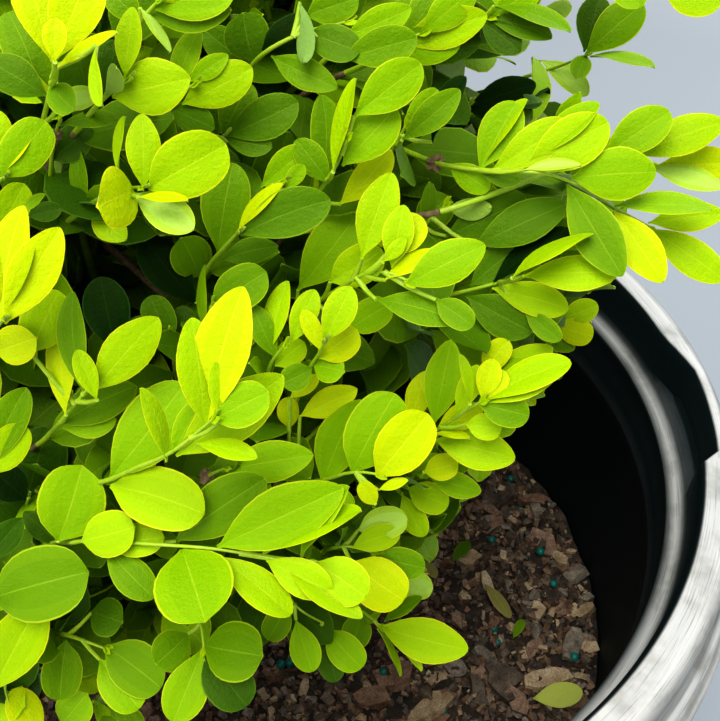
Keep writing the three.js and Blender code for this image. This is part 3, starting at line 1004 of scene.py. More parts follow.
class Foliage:
    # collects leaves by the piece that they belong to
    def __init__(self):
        self.leaves = {}

    def add(self, piece, *values):
        self.leaves.setdefault(piece, []).append(Leaf(*values))

    def count(self):
        return sum(len(leaves) for leaves in self.leaves.values())

    def parts(self, piece):
        built = []
        for fine, forms in ((False, coarseShapes), (True, fineShapes)):
            for shape, form in enumerate(forms):
                group = [leaf for leaf in self.leaves[piece] if leaf.shape == shape and leaf.fine == fine]
                if group:
                    built.append(self.grown(group, form))
        return built

    def grown(self, group, form):
        base = np.array([leaf.base for leaf in group])
        way = unit(np.array([leaf.way for leaf in group]))
        up = np.array([leaf.up for leaf in group])
        up = unit(up - way * np.sum(up * way, axis=1, keepdims=True))
        side = np.cross(up, way)
        length = np.array([leaf.length for leaf in group])[:, None]
        width = np.array([leaf.width for leaf in group])[:, None]
        family = np.array([leaf.family for leaf in group])[:, None]
        # every leaf is twisted and bent sideways a little in its own way
        rng = np.random.default_rng(len(group))
        twist, bend = rng.normal(0, 0.16, (2, len(group), 1))
        x, y = form["x"][None, :], form["y"][None, :] * width / 2
        rise = (form["z"][None, :] * width / 2 + form["arch"][None, :] * length
                + twist * x * y - form["under"][None, :] * leafShape["thickness"])
        y = y + bend * (x - x * x) * length * 0.5
        verts = (base[:, None] + (x * length)[..., None] * way[:, None]
                 + y[..., None] * side[:, None] + rise[..., None] * up[:, None])
        count = len(form["x"])
        loops = (form["loops"][None, :] + np.arange(len(group))[:, None] * count).ravel()
        mats = (form["mats"][None, :] + len(leafFinish["rough"]) * family).ravel()
        return verts.reshape(-1, 3), loops, np.tile(form["sizes"], len(group)), mats


foliage = Foliage()
twigParts = []  # (vertices, loops, sizes, materials) of every twig
brownTwig, oliveTwig, greenTwig = range(3)  # the twigs' materials
print("leaf shapes ready")


# Stem and boughs, along the lines of the frame's solids

limbs = {
    "stemFoot": (-3.0, 4.0, 139.0),
    "stemTop": (-7.0, 5.0, 250.0),
    "stemRadius": 8.0,
    "stemTopRadius": 5.6,
    "flareRadius": 13.0,
    "flareHeight": 14.0,
    "boughRadius": 3.5,
    "boughTipRadius": 2.2,
}
crownCentre = np.array([-14.0, 1.0, 306.0])


def nodeTriangles(name):
    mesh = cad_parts[name].data
    mesh.calc_loop_triangles()
    verts = np.array([v.co for v in mesh.vertices]) / mm
    tris = np.array([t.vertices for t in mesh.loop_triangles])
    return verts, tris


def barkRelief(points, radius):
    # ridges that run up the limb
    lift = []
    for p in points:
        ridges = noise.fractal(Vector((p[0] / 2.2, p[1] / 2.2, p[2] / 9.0)), 1.0, 2.0, 3)
        lift.append(ridges * 0.09 * radius)
    return np.array(lift)


def limbLine(name):
    # the line along the middle of a bough's solid, from the stem outwards
    verts, tris = nodeTriangles(name)
    stem = np.array(limbs["stemTop"])
    apart = np.hypot(verts[:, 0] - stem[0], verts[:, 1] - stem[1]) + 0.4 * (verts[:, 2] - 150)
    start = verts[apart <= np.quantile(apart, 0.12)].mean(axis=0)
    end = verts[apart >= np.quantile(apart, 0.9)].mean(axis=0)
    way = unit(end - start)
    run = (verts - start) @ way
    fits = [np.polyfit(run, verts[:, k], 2) for k in range(3)]
    wanted = np.linspace(run.min() - 3, run.max(), 9)
    return np.stack([np.polyval(fit, wanted) for fit in fits], axis=1)


def makeStem():
    foot, top = np.array(limbs["stemFoot"]), np.array(limbs["stemTop"])
    flare = limbs["flareHeight"]
    line = smoothLine([foot, foot + (0, 0, flare), foot + (top - foot) * 0.6 + (1.5, -1, 0), top], 60)
    height = line[:, 2] - foot[2]
    radii = np.interp(height, [0, top[2] - foot[2]], [limbs["stemRadius"], limbs["stemTopRadius"]])
    radii = radii + (limbs["flareRadius"] - limbs["stemRadius"]) * np.maximum(0, 1 - height / flare) ** 2
    return [tube(line, radii, 28, 0, barkRelief)]


barkFinish = {
    "coarse": 150,
    "fine": 900,
    "patches": (0.3, 0.5, 0.7),
    "fleckPlace": 0.38,
    "fleckTone": 0.55,
    "relief": 0.6,
    "reliefDepth": 0.0006,
}
oldBarkTones = [(0.10, 0.075, 0.045), (0.22, 0.175, 0.11), (0.36, 0.31, 0.21)]
oldBark = mottledMaterial("oldBark", oldBarkTones, 31, 0.85, barkFinish)


def boughOf(massName):
    return massName.replace("leaves_", "bough_")


massNames = sorted(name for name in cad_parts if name.startswith("leaves_"))
boughLines = {name: limbLine(boughOf(name)) for name in massNames}
stemPiece = meshPiece("stemWood", makeStem(), [oldBark], 60)
finishPiece(stemPiece, "bark", "stem")
boughParts = []
for line in boughLines.values():
    fineLine = smoothLine(line, 40)
    radii = np.linspace(limbs["boughRadius"], limbs["boughTipRadius"], len(fineLine))
    boughParts.append(tube(fineLine, radii, 14, 0, barkRelief))
boughPiece = meshPiece("boughWood", boughParts, [oldBark], 60)
finishPiece(boughPiece, "bark", *[boughOf(name) for name in massNames])
print("stem and boughs ready")


# Shoots that the picture shows near the camera. Each has a stem, whose points are a pixel and a
# radius about the crown's middle (below zero on its far side), and leaves: the pixel of the
# base, the pixel of the tip, the width seen in pixels (below zero where the underside shows),
# the number of its colours, which is its age from 0 for the youngest to 6 and also paints the shade
# of leaves that lie in shadow (8 is a pale family of painted sheen), and for some how many
# mm it is nearer than its stem. A few carry seed cases: pixel, and size in mm.

shownShoots = [
    {"stem": [(36, 150, 92), (48, 100, 105), (55, 64, 113), (57, 30, 118)], "leaves": [
        (52, 62, 22, -42, 44, 0), (56, 60, 94, -34, 52, 0), (55, 62, 56, 18, 24, 0, 5),
        (57, 68, 117, 32, 15, 0, 2), (56, 112, 33, 67, 13, 0), (52, 102, 101, 93, 24, 8),
        (96, 46, 101, 106, 9, 1, 3), (45, 105, 8, 12, 46, 3), (48, 96, -14, 60, 40, 4),
        (50, 86, 74, 110, 30, 3)]},
    {"stem": [(84, 122, 94), (101, 101, 101), (128, 78, 107)], "leaves": [
        (112, 97, 190, 78, 56, 1), (125, 78, 133, 7, 27, 1), (104, 100, 116, 40, 34, 5)]},
    {"stem": [(160, 122, 88), (176, 100, 94), (196, 82, 98)], "leaves": [
        (172, 96, 200, 26, 26, 2), (188, 82, 228, 55, 22, 2), (182, 104, 252, 68, 42, 1),
        (172, 108, 214, 128, 30, 4)]},
    {"stem": [(132, 36, 94), (148, 12, 101), (172, -12, 106)], "leaves": [
        (150, 8, 234, -8, 44, 2), (148, 16, 231, 10, 36, 3), (140, 8, 170, 52, 12, 8),
        (140, 20, 108, -12, 30, 3), (155, 0, 190, -40, 44, 1)]},
    {"stem": [(240, 82, 82), (262, 55, 91), (300, 34, 97), (345, 22, 101)], "leaves": [
        (254, 62, 243, 13, 46, 4), (271, 56, 337, 88, 32, 3), (262, 50, 312, 22, 36, 6),
        (300, 2, 305, 63, -17, 3), (308, 33, 360, 52, 36, 4), (306, 16, 358, -2, 34, 3),
        (345, 36, 411, 8, 32, 2), (342, 58, 417, 38, 40, 3), (250, 66, 205, 30, 34, 4)]},
    {"stem": [(72, 218, 82), (94, 202, 92), (120, 190, 101), (140, 187, 107)], "leaves": [
        (143, 189, 142, 114, 35, 1), (148, 189, 226, 145, 62, 1), (134, 191, 98, 206, 58, 0),
        (134, 193, 193, 230, 38, 8), (138, 197, 188, 200, 11, 0, 3), (117, 172, 124, 116, 8, 1, 3),
        (92, 206, 126, 240, 32, 1), (88, 213, 79, 149, 17, 3)]},
    {"stem": [(44, 220, 74), (49, 190, 84), (52, 152, 90), (58, 124, 95)],
     "seedCases": [(50, 196, 1.8), (52, 144, 2.2), (54, 132, 1.8)], "leaves": [
        (58, 182, 70, 136, -16, 2), (60, 125, 116, 119, 14, 3), (49, 190, 22, 160, 24, 5),
        (50, 160, 90, 128, 34, 5)]},
    {"stem": [(-36, 226, 76), (-18, 202, 98), (2, 178, 108)], "leaves": [
        (2, 177, 46, 122, 46, 2), (2, 174, 35, 131, 14, 0), (-4, 172, -12, 108, 42, 1)]},
    {"stem": [(-28, 262, 74), (-8, 240, 92), (8, 222, 101)], "leaves": [
        (-2, 232, 24, 184, 34, 1), (22, 214, 45, 194, 10, 2), (28, 216, 62, 208, 20, 5)]},
    {"stem": [(-34, 376, 74), (-16, 346, 100), (3, 320, 114)], "leaves": [
        (-1, 324, 24, 206, 44, 0), (5, 324, 60, 228, 48, 0), (2, 318, 37, 240, 13, 1),
        (-6, 320, -24, 214, 44, 0), (-4, 352, 36, 338, 40, 0)]},
    {"stem": [(44, 440, 88), (62, 420, 96), (80, 398, 102), (92, 384, 105)], "leaves": [
        (66, 415, 67, 312, 30, 0, 4), (97, 400, 77, 350, 22, 1, 3), (95, 390, 158, 318, 47, 1),
        (84, 392, 73, 292, 28, 3), (60, 424, 136, 386, 42, 3), (62, 428, 116, 420, 30, 2),
        (30, 352, 58, 291, 48, 1), (116, 352, 100, 277, 46, 6)]},
    {"stem": [(176, 372, 78), (172, 348, 86), (168, 330, 90)], "leaves": [
        (170, 344, 150, 296, 33, 4), (174, 352, 186, 306, 28, 5), (168, 336, 128, 326, 30, 5)]},
    {"stem": [(204, 276, 80), (212, 262, 86), (224, 248, 93), (238, 232, 101)], "leaves": [
        (218, 253, 233, 163, 49, 3), (238, 231, 283, 184, 19, 0), (240, 235, 330, 200, 48, 4),
        (222, 260, 278, 246, 27, 4), (200, 277, 181, 238, 42, 3), (196, 304, 143, 238, 44, 6)]},
    {"stem": [(204, 160, 78), (222, 138, 88), (232, 124, 92)], "leaves": [
        (222, 138, 251, 84, 36, 3), (226, 136, 298, 102, 42, 4), (224, 138, 272, 147, 25, 4),
        (208, 152, 194, 108, 22, 4), (212, 150, 168, 130, 28, 5)]},
    {"stem": [(252, 208, 86), (268, 188, 95), (288, 178, 100)], "leaves": [
        (261, 187, 309, 148, 32, 2), (285, 190, 304, 165, 17, 2)]},
    {"stem": [(300, 216, 86), (320, 190, 95), (338, 162, 103), (346, 140, 107)], "leaves": [
        (319, 191, 322, 95, 34, 3), (333, 172, 355, 78, 17, 1, 3), (342, 166, 396, 108, 46, 2),
        (340, 204, 391, 150, 32, 0), (354, 116, 421, 64, 46, 2), (330, 184, 296, 140, 30, 3)]},
    {"stem": [(296, 314, 86), (334, 292, 96), (362, 275, 104), (386, 272, 109), (406, 280, 112)],
     "leaves": [
        (298, 290, 358, 213, 52, 2), (330, 282, 382, 250, 40, 1), (362, 258, 392, 173, 41, 1),
        (388, 252, 423, 218, 35, 0), (383, 262, 406, 238, 15, 1, 2), (385, 280, 438, 251, 19, 0),
        (404, 286, 485, 245, 44, 2), (376, 300, 459, 322, 33, 3), (436, 300, 473, 326, 28, 3),
        (348, 330, 390, 304, 34, 2), (392, 268, 404, 205, 32, 1)]},
    {"stem": [(262, 404, 88), (270, 366, 98), (284, 346, 103)], "leaves": [
        (270, 352, 288, 281, 23, 1), (291, 343, 315, 290, 27, 1), (275, 366, 304, 342, 27, 1),
        (276, 358, 252, 306, 26, 3)]},
    {"stem": [(296, 402, 90), (306, 374, 99), (320, 352, 106), (326, 338, 110)], "leaves": [
        (322, 352, 303, 310, 19, 0), (323, 342, 351, 287, 33, 1), (318, 358, 357, 330, 38, 0),
        (314, 366, 344, 372, 30, 2), (312, 368, 282, 384, 28, 3)]},
    {"stem": [(198, 362, 84), (206, 330, 92), (212, 306, 97)], "leaves": [
        (206, 330, 205, 265, 15, 2), (212, 307, 266, 272, 44, 3), (208, 322, 246, 300, 36, 3)]},
    {"stem": [(88, 484, 96), (108, 480, 103), (140, 466, 110), (172, 452, 116), (212, 420, 122)],
     "leaves": [
        (110, 478, 184, 384, 62, 2), (167, 462, 141, 388, 20, 1), (172, 454, 204, 396, 28, 2),
        (176, 456, 283, 376, 56, 1), (196, 444, 257, 458, 18, 1), (206, 424, 243, 287, 54, 0),
        (205, 426, 192, 318, 44, 1), (222, 420, 216, 362, 25, 1), (110, 486, 204, 514, 60, 1),
        (212, 420, 268, 392, 44, 2)]},
    {"stem": [(186, 488, 92), (216, 472, 98), (240, 462, 102)], "seedCases": [(205, 476, 2.4)], "leaves": [
        (222, 470, 313, 455, 42, 2), (228, 474, 270, 500, 36, 3), (206, 480, 170, 500, 30, 4)]},
    {"stem": [(26, 546, 92), (53, 542, 98), (82, 541, 104), (120, 542, 108), (165, 545, 111),
              (216, 549, 114), (268, 558, 117), (300, 563, 119), (326, 568, 120)], "leaves": [
        (58, 541, 82, 466, 66, 2, 8), (82, 541, 134, 527, 46, 1, 5), (110, 544, 164, 538, 34, 1),
        (106, 548, 154, 598, 36, 3), (182, 549, 205, 621, 78, 2), (218, 556, 291, 615, 38, 1),
        (217, 547, 343, 488, 60, 2), (262, 554, 361, 510, 25, 1), (300, 560, 348, 486, 18, 2),
        (266, 560, 332, 591, 38, 1), (284, 564, 362, 618, 32, 1), (316, 562, 366, 597, 46, 1),
        (176, 541, 265, 479, 54, 3, -5), (60, 546, 24, 512, 24, 5)]},
    {"stem": [(20, 536, 84), (24, 515, 90), (30, 490, 94)], "seedCases": [(25, 530, 3.6)], "leaves": [
        (23, 514, 48, 428, 58, 5), (26, 500, -6, 470, 36, 6)]},
    {"stem": [(-28, 480, 80), (-12, 474, 102)], "leaves": [
        (-8, 474, 23, 424, 37, 1), (-10, 468, 26, 388, 38, 3)]},
    {"stem": [(-44, 622, 76), (-20, 606, 102), (-6, 598, 112)], "leaves": [
        (-8, 598, 88, 572, 74, 3), (-12, 560, 22, 518, 30, 5, -4)]},
    {"stem": [(-24, 716, 82), (-14, 698, 110), (-8, 690, 122)], "leaves": [
        (-8, 692, 42, 598, 54, 1), (-10, 700, 24, 706, 40, 1)]},
    {"stem": [(-2, 644, 82), (34, 630, 102), (70, 636, 106), (104, 648, 109)], "leaves": [
        (36, 628, 108, 660, 58, 3), (30, 640, 101, 690, 44, 1), (105, 646, 161, 688, 50, 3),
        (100, 660, 139, 709, 42, 2), (92, 612, 122, 622, 38, 4), (66, 640, 60, 700, 40, 3)]},
    {"stem": [(186, 600, 98), (200, 622, 105), (204, 647, 110)], "leaves": [
        (164, 608, 205, 646, 48, 2), (205, 646, 262, 656, 58, 3), (203, 648, 173, 722, 44, 2),
        (206, 652, 247, 706, 48, 5), (188, 634, 156, 664, 40, 3)]},
    {"stem": [(286, 588, 98), (298, 608, 104), (328, 626, 107)], "leaves": [
        (296, 620, 312, 672, 31, 2), (327, 630, 362, 668, 34, 2), (288, 606, 268, 640, 28, 3),
        (322, 634, 336, 682, 28, 5)]},
    {"stem": [(48, 738, 88), (64, 724, 105), (92, 708, 110)], "leaves": [
        (62, 724, 87, 694, 38, 2), (94, 700, 112, 730, 16, 2), (40, 740, 12, 690, 34, 0, 3),
        (100, 708, 140, 740, 40, 3)]},
    {"stem": [(270, 486, 92), (322, 480, 101), (352, 472, 107), (376, 474, 110)], "leaves": [
        (322, 486, 361, 400, 48, 2), (352, 472, 395, 394, 55, 2), (376, 477, 428, 414, 52, 0),
        (290, 428, 288, 397, 22, 0, 3), (300, 416, 357, 389, 30, 0, 4), (290, 398, 318, 376, 17, 0, 9),
        (378, 490, 408, 480, 11, 0), (376, 505, 361, 482, 19, 0), (318, 486, 352, 512, 30, 2)]},
    {"stem": [(380, 474, 92), (410, 452, 99), (434, 432, 106), (456, 417, 110), (480, 402, 114)],
     "leaves": [
        (434, 424, 451, 340, 38, 2), (436, 430, 482, 407, 27, 0), (433, 434, 470, 438, 8, 0, 3),
        (466, 424, 501, 430, 27, 1), (480, 405, 529, 416, 34, 3), (434, 440, 515, 459, 42, 1),
        (410, 422, 427, 371, 27, 0), (482, 400, 494, 359, 25, 0), (482, 399, 506, 372, 22, 0),
        (482, 402, 571, 362, 32, 1), (484, 404, 556, 376, 28, 1), (470, 404, 459, 354, 11, 1, 3),
        (456, 412, 478, 365, 23, 1)]},
    {"stem": [(372, 486, 92), (404, 480, 98), (428, 474, 102)], "leaves": [
        (424, 472, 458, 463, 27, 0, 7), (430, 478, 481, 492, 26, 2), (408, 488, 448, 506, 31, 1),
        (402, 494, 425, 536, 25, 1)]},
    {"stem": [(318, 552, 96), (346, 546, 103), (372, 552, 106)], "leaves": [
        (352, 548, 400, 532, 27, 1), (358, 530, 407, 518, 33, 8), (376, 556, 425, 568, 31, 3),
        (352, 562, 404, 600, 51, 0)]},
    {"stem": [(350, 588, 90), (372, 584, 93), (396, 584, 95)], "leaves": [
        (396, 584, 433, 588, 27, 8), (380, 586, 412, 610, 28, 4)]},
    {"stem": [(332, 596, 88), (360, 610, 92), (380, 625, 96)], "leaves": [
        (378, 626, 468, 650, 44, 1), (378, 628, 401, 676, 7, 1), (384, 630, 422, 671, 7, 1),
        (384, 622, 422, 597, 15, 3), (362, 612, 352, 648, 30, 3)]},
    {"stem": [(366, 64, 91), (398, 46, 99), (430, 28, 104)], "leaves": [
        (400, 44, 487, 15, 40, 1), (396, 58, 460, 44, 30, 2), (404, 40, 440, -10, 34, 3),
        (420, 34, 476, -14, 36, 2)]},
    {"stem": [(382, 170, 89), (398, 140, 97), (410, 118, 101)], "leaves": [
        (402, 132, 437, 89, 25, 2), (402, 140, 460, 90, 31, 3, 4), (432, 142, 465, 76, 22, 6)]},
    {"stem": [(440, 26, 91), (466, 20, 97), (488, 18, 101)], "leaves": [
        (494, 6, 571, 31, 16, 3, 2), (486, 18, 552, 38, 24, 4), (490, 16, 540, -12, 30, 2),
        (480, 20, 520, 52, 30, 5)]},
    {"stem": [(404, 252, 82), (424, 226, 90), (444, 206, 95)], "leaves": [
        (420, 230, 448, 196, 36, 3), (446, 208, 492, 208, -23, 2), (446, 236, 526, 198, 42, 4),
        (474, 246, 566, 204, 42, 4), (430, 232, 470, 262, 34, 4)]},
    {"stem": [(408, 152, 88), (440, 164, 95), (479, 170, 102), (507, 171, 106), (540, 173, 110),
              (567, 179, 113), (590, 192, 115), (612, 206, 117), (630, 216, 118), (650, 227, 119)],
     "seedCases": [(436, 158, 2.6)], "leaves": [
        (479, 170, 516, 102, 42, 2), (483, 169, 527, 99, 13, 1), (492, 170, 568, 122, 39, 1),
        (524, 170, 608, 122, 52, 1), (536, 160, 599, 103, 24, 2), (571, 178, 656, 172, 54, 2),
        (524, 170, 581, 165, 14, 8, 4), (567, 184, 622, 276, 48, 3), (614, 206, 712, 209, 27, 2),
        (648, 223, 724, 214, 31, 1), (648, 228, 724, 280, 36, 1), (614, 210, 663, 282, 40, 0),
        (449, 164, 489, 190, 27, 2), (482, 174, 520, 181, 19, 4)]},
    {"stem": [(552, 172, 106), (590, 160, 110), (626, 156, 113), (654, 164, 115)], "leaves": [
        (602, 158, 670, 112, 42, 2), (634, 156, 724, 122, 38, 1), (655, 166, 740, 162, 36, 0),
        (650, 168, 722, 188, 24, 8)]},
    {"stem": [(424, 304, 89), (446, 296, 94), (482, 287, 100), (524, 275, 106)], "leaves": [
        (512, 278, 594, 234, 22, 1, 9), (492, 284, 572, 230, 26, 6), (524, 276, 618, 273, 34, 1, 5),
        (492, 288, 568, 309, 34, 1), (466, 296, 532, 332, 42, 4), (524, 310, 561, 340, 22, 3),
        (470, 286, 520, 246, 34, 4)]},
    {"stem": [(500, 318, 86), (536, 322, 90), (562, 322, 92)], "leaves": [
        (558, 320, 598, 305, 25, 1), (556, 326, 593, 336, 27, 0), (540, 324, 574, 350, 26, 3)]},
    {"stem": [(470, 384, 100), (500, 366, 106)], "leaves": [
        (488, 370, 553, 348, 30, 1), (480, 376, 520, 384, 28, 2), (484, 372, 508, 340, 26, 0, 3)]},
    {"stem": [(528, 76, -92), (560, 66, -98), (586, 55, -102)], "leaves": [
        (585, 55, 643, 4, 40, 3), (586, 55, 576, 78, 21, 3), (590, 56, 655, 67, 9, 2),
        (540, 60, 588, 95, 22, 8), (584, 52, 600, -4, 34, 5)]},
    {"stem": [(560, -44, 98), (620, -40, 104), (664, -22, 108)], "leaves": [
        (662, -20, 724, 0, 42, 1), (664, -24, 720, -44, 36, 1), (620, -38, 640, 8, 34, 2)]},
    {"stem": [(448, 120, 76), (468, 104, 82)], "leaves": [
        (470, 104, 536, 84, 32, 6), (466, 108, 520, 120, 26, 6)]},
]

# The crown's outline in the picture, and the dark hollows in it: pixel, half width and half height
crownEdge = [(-60, -60), (655, -60), (650, 0), (600, 60), (590, 92), (536, 100), (500, 62), (440, 70),
             (436, 100), (470, 96), (520, 100), (600, 104), (620, 160), (640, 280), (616, 300), (606, 336),
             (566, 352), (566, 372), (524, 420), (500, 444), (480, 492), (440, 530), (428, 590), (410, 640),
             (376, 668), (312, 672), (262, 690), (236, 780), (-60, 780)]
hollows = [(125, 290, 58, 42), (36, 232, 26, 12), (132, 600, 30, 22), (235, 108, 44, 12), (40, 150, 16, 30),
           (300, 250, 20, 16), (445, 110, 14, 34), (232, 590, 20, 12), (20, 400, 20, 16)]

# what keeps the rest of the crown from hiding the shown shoots
sight = {
    "cell": 16,  # pixels, of the grid that holds how far away the shown leaves are
    "cells": 60,
    "margin": 100,  # pixels that the grid starts outside the picture
    "edge": 40,  # pixels outside the picture that still count
    "skinRadius": 98.0,
    "behindLeaf": 7.0,  # mm that others stay behind a shown leaf
    "behindSkin": 22.0,  # at the most, measured from the crown's skin
    "bareSkin": 5.0,  # how deep they stay where no leaf is shown
    "hollowDepth": 48.0,
    "pictureFrom": -30,
    "pictureTo": 750,
    "pictureDepth": 260.0,
}
nearest = np.full((sight["cells"], sight["cells"]), np.inf)
lightWay = unit(np.array([0.10, -0.35, 1.0]))


def onCrown(px, py, radius):
    # where the line of sight meets a ball about the crown's middle, or passes nearest to it
    origin = np.array(cameraPlace)
    way = np.array(seenAt(px, py, 1)) - origin
    apart = origin - crownCentre
    a, b, c = way @ way, way @ apart, apart @ apart - radius ** 2
    root = math.sqrt(max(0, b * b - a * c)) * (1 if radius > 0 else -1)
    return origin + way * (-b - root) / a


def markNear(base, tip, width):
    # notes in the grid how near a shown leaf stands, in each cell that it covers
    cell, margin, cells = sight["cell"], sight["margin"], sight["cells"]
    for t in np.linspace(0, 1, 7):
        middle = np.asarray(base) * (1 - t) + np.asarray(tip) * t
        px, py, depth = pixelOf(middle)
        reach = width / 2 / depth * viewpoint["focalPixels"] * math.sin(math.pi * min(0.95, t + 0.05))
        for x in np.arange(px - reach, px + reach + 1, cell / 2):
            for y in np.arange(py - reach, py + reach + 1, cell / 2):
                i, j = int((x + margin) // cell), int((y + margin) // cell)
                if 0 <= i < cells and 0 <= j < cells:
                    nearest[i, j] = min(nearest[i, j], depth)


def insideEdge(px, py):
    # true for pixels within the picture's outline of the crown
    inside = np.zeros(len(px), dtype=bool)
    for (ax, ay), (bx, by) in zip(crownEdge, crownEdge[1:] + crownEdge[:1]):
        crosses = (ay > py) != (by > py)
        at = ax + (py - ay) / (by - ay if by != ay else 1) * (bx - ax)
        inside ^= crosses & (px < at)
    return inside


def standsClear(points):
    # true for points that don't hide the shown leaves, the hollows or what is beyond the crown
    points = np.atleast_2d(points)
    px, py, depth = pixelOf(points)
    edge = sight["edge"]
    seen = (px > -edge) & (px < viewpoint["wide"] + edge) & (py > -edge) & (py < viewpoint["high"] + edge)
    seen &= depth > 0
    apart = np.array(cameraPlace) - crownCentre
    way = (points - np.array(cameraPlace)) / depth[:, None]
    a, b = np.sum(way * way, axis=1), way @ apart
    c = apart @ apart - sight["skinRadius"] ** 2
    skin = (-b - np.sqrt(np.maximum(0, b * b - a * c))) / a
    i = np.clip((px + sight["margin"]) // sight["cell"], 0, sight["cells"] - 1).astype(int)
    j = np.clip((py + sight["margin"]) // sight["cell"], 0, sight["cells"] - 1).astype(int)
    limit = np.minimum(nearest[i, j] + sight["behindLeaf"], skin + sight["behindSkin"])
    limit = np.where(np.isinf(nearest[i, j]), skin + sight["bareSkin"], limit)
    for hx, hy, wide, high in hollows:
        inHollow = ((px - hx) / wide) ** 2 + ((py - hy) / high) ** 2 < 1
        limit = np.where(inHollow, np.maximum(limit, skin + sight["hollowDepth"]), limit)
    return ~seen | ((depth > limit) & insideEdge(px, py))


def inPicture(point):
    px, py, depth = pixelOf(point)
    low, high = sight["pictureFrom"], sight["pictureTo"]
    return depth < sight["pictureDepth"] and low < px < high and low < py < high


def turningFrom(point, foot, ahead):
    # how far away a point is, made worse by the turn that a line through it would take
    way = foot - point
    far = np.linalg.norm(way)
    return 1.3 * far + 50 * (1 - way @ ahead / far)


def within(point, radius):
    # the point, drawn in to that distance from the crown's middle
    apart = point - crownCentre
    return crownCentre + apart * min(1, radius / np.linalg.norm(apart))


def addSeedCases(rng, spot, size):
    # dry brown scales crowded round the stem
    for k in range(11):
        verts, loops, sizes = chip(rng, size * 0.6, size * 0.42, size * 0.30)
        turn = np.array(Matrix.Rotation(rng.uniform(0, 6.28), 3, Vector(rng.normal(0, 1, 3))))
        out = unit(rng.normal(0, 1, 3))
        verts = verts @ turn.T + spot + out * size * 0.34
        twigParts.append((verts, loops, sizes, np.full(len(sizes), brownTwig)))


seeds = {"shown": 900, "hidden": 1400, "mass": 200}

shownGrowth = {
    "runRadius": 1.1,  # where the run leaves its bough
    "stemRadius": 0.48,
    "straightOn": 0.35,  # share of the run that lies straight behind the stem
    "inset": 10.0,  # how much deeper than the stem's foot that part begins
    "middleRadius": 68.0,  # no farther from the crown's middle is the run's own middle
    "greenFrom": 0.9,  # where the run turns from brown to green, as a share of it
    "hiddenPart": (0.35, 1.15),  # the part of the run with older leaves
    "hiddenSpacing": 8.0,
    "hiddenLeaves": (0.86, 2.1),  # their size, and how much older and darker with painted shade they are
    "stalkFrom": 1.2,  # a leaf this far from its stem gets a stalk
    "broadest": 13.5,
    "tipLeaflet": (2.6, 1.1, 3, 1),  # length, width, shape and family
}
hiddenRuns = []


def runBehind(stem):
    # from the bough that the shoot can run on from with the least turning, as far as its stem
    ahead = unit(stem[3] - stem[0])
    start, home = min(((point, name) for name, line in boughLines.items() for point in line[3:]),
                      key=lambda pair: turningFrom(pair[0], stem[0], ahead))
    reach = np.linalg.norm(stem[0] - start)
    before = stem[0] - ahead * reach * shownGrowth["straightOn"]
    before = within(before, np.linalg.norm(stem[0] - crownCentre) - shownGrowth["inset"])
    halfway = within(start * 0.5 + before * 0.5, shownGrowth["middleRadius"])
    return home, [start, halfway, before]


def placeShownLeaf(rng, home, stem, nearby, depth, leaf):
    # turned and leant so that its base, tip and width show where the picture has them
    bx, by, tx, ty, wide, family = leaf
    base = np.array(seenAt(bx, by, depth))
    if np.linalg.norm(base - stem[nearby]) > shownGrowth["stalkFrom"]:
        joint = stem[max(0, nearby - 3)]
        stalk = smoothLine([joint, (joint + base) / 2 + (0, 0, -0.4), base], 5)
        twigParts.append(tube(stalk, np.linspace(0.5, 0.32, 5), 6, greenTwig))
    scale = depth / viewpoint["focalPixels"]
    seen = math.hypot(tx - bx, ty - by) * scale
    seenWidth = abs(wide) * scale
    broad = seenWidth > seen * 0.6
    length = max(seen * 1.02, seenWidth / (0.80 if broad else 0.62))
    width = min(max(seenWidth, length * 0.40), shownGrowth["broadest"])
    lean = math.sqrt(max(0, length ** 2 - seen ** 2))
    tip = np.array(seenAt(tx, ty, depth - lean))
    way = unit(tip - base)
    view = unit(np.array(cameraPlace) - (base + tip) / 2)
    facing = unit(view - way * (way @ view))
    side = np.cross(facing, way)
    turn = math.acos(min(1, seenWidth / width))
    if side @ lightWay < 0:
        turn = -turn
    up = facing * math.cos(turn) + side * math.sin(turn)
    if wide < 0:
        up = facing * -math.cos(turn) + side * math.sin(turn)
    edgeOn = seenWidth / width < 0.55
    shape = int(rng.choice([0, 1, 3] if edgeOn else [0, 1, 2, 4, 0, 1]))
    if rng.uniform() < (0.3 if width < length * 0.50 else 0.92):
        # a blunt or a round outline
        shape += len(shapeKinds) * (2 if broad else 1)
    foliage.add(pieceOf(home), base, way, up, np.linalg.norm(tip - base), width, shape, family, True)
    markNear(base, tip, width)


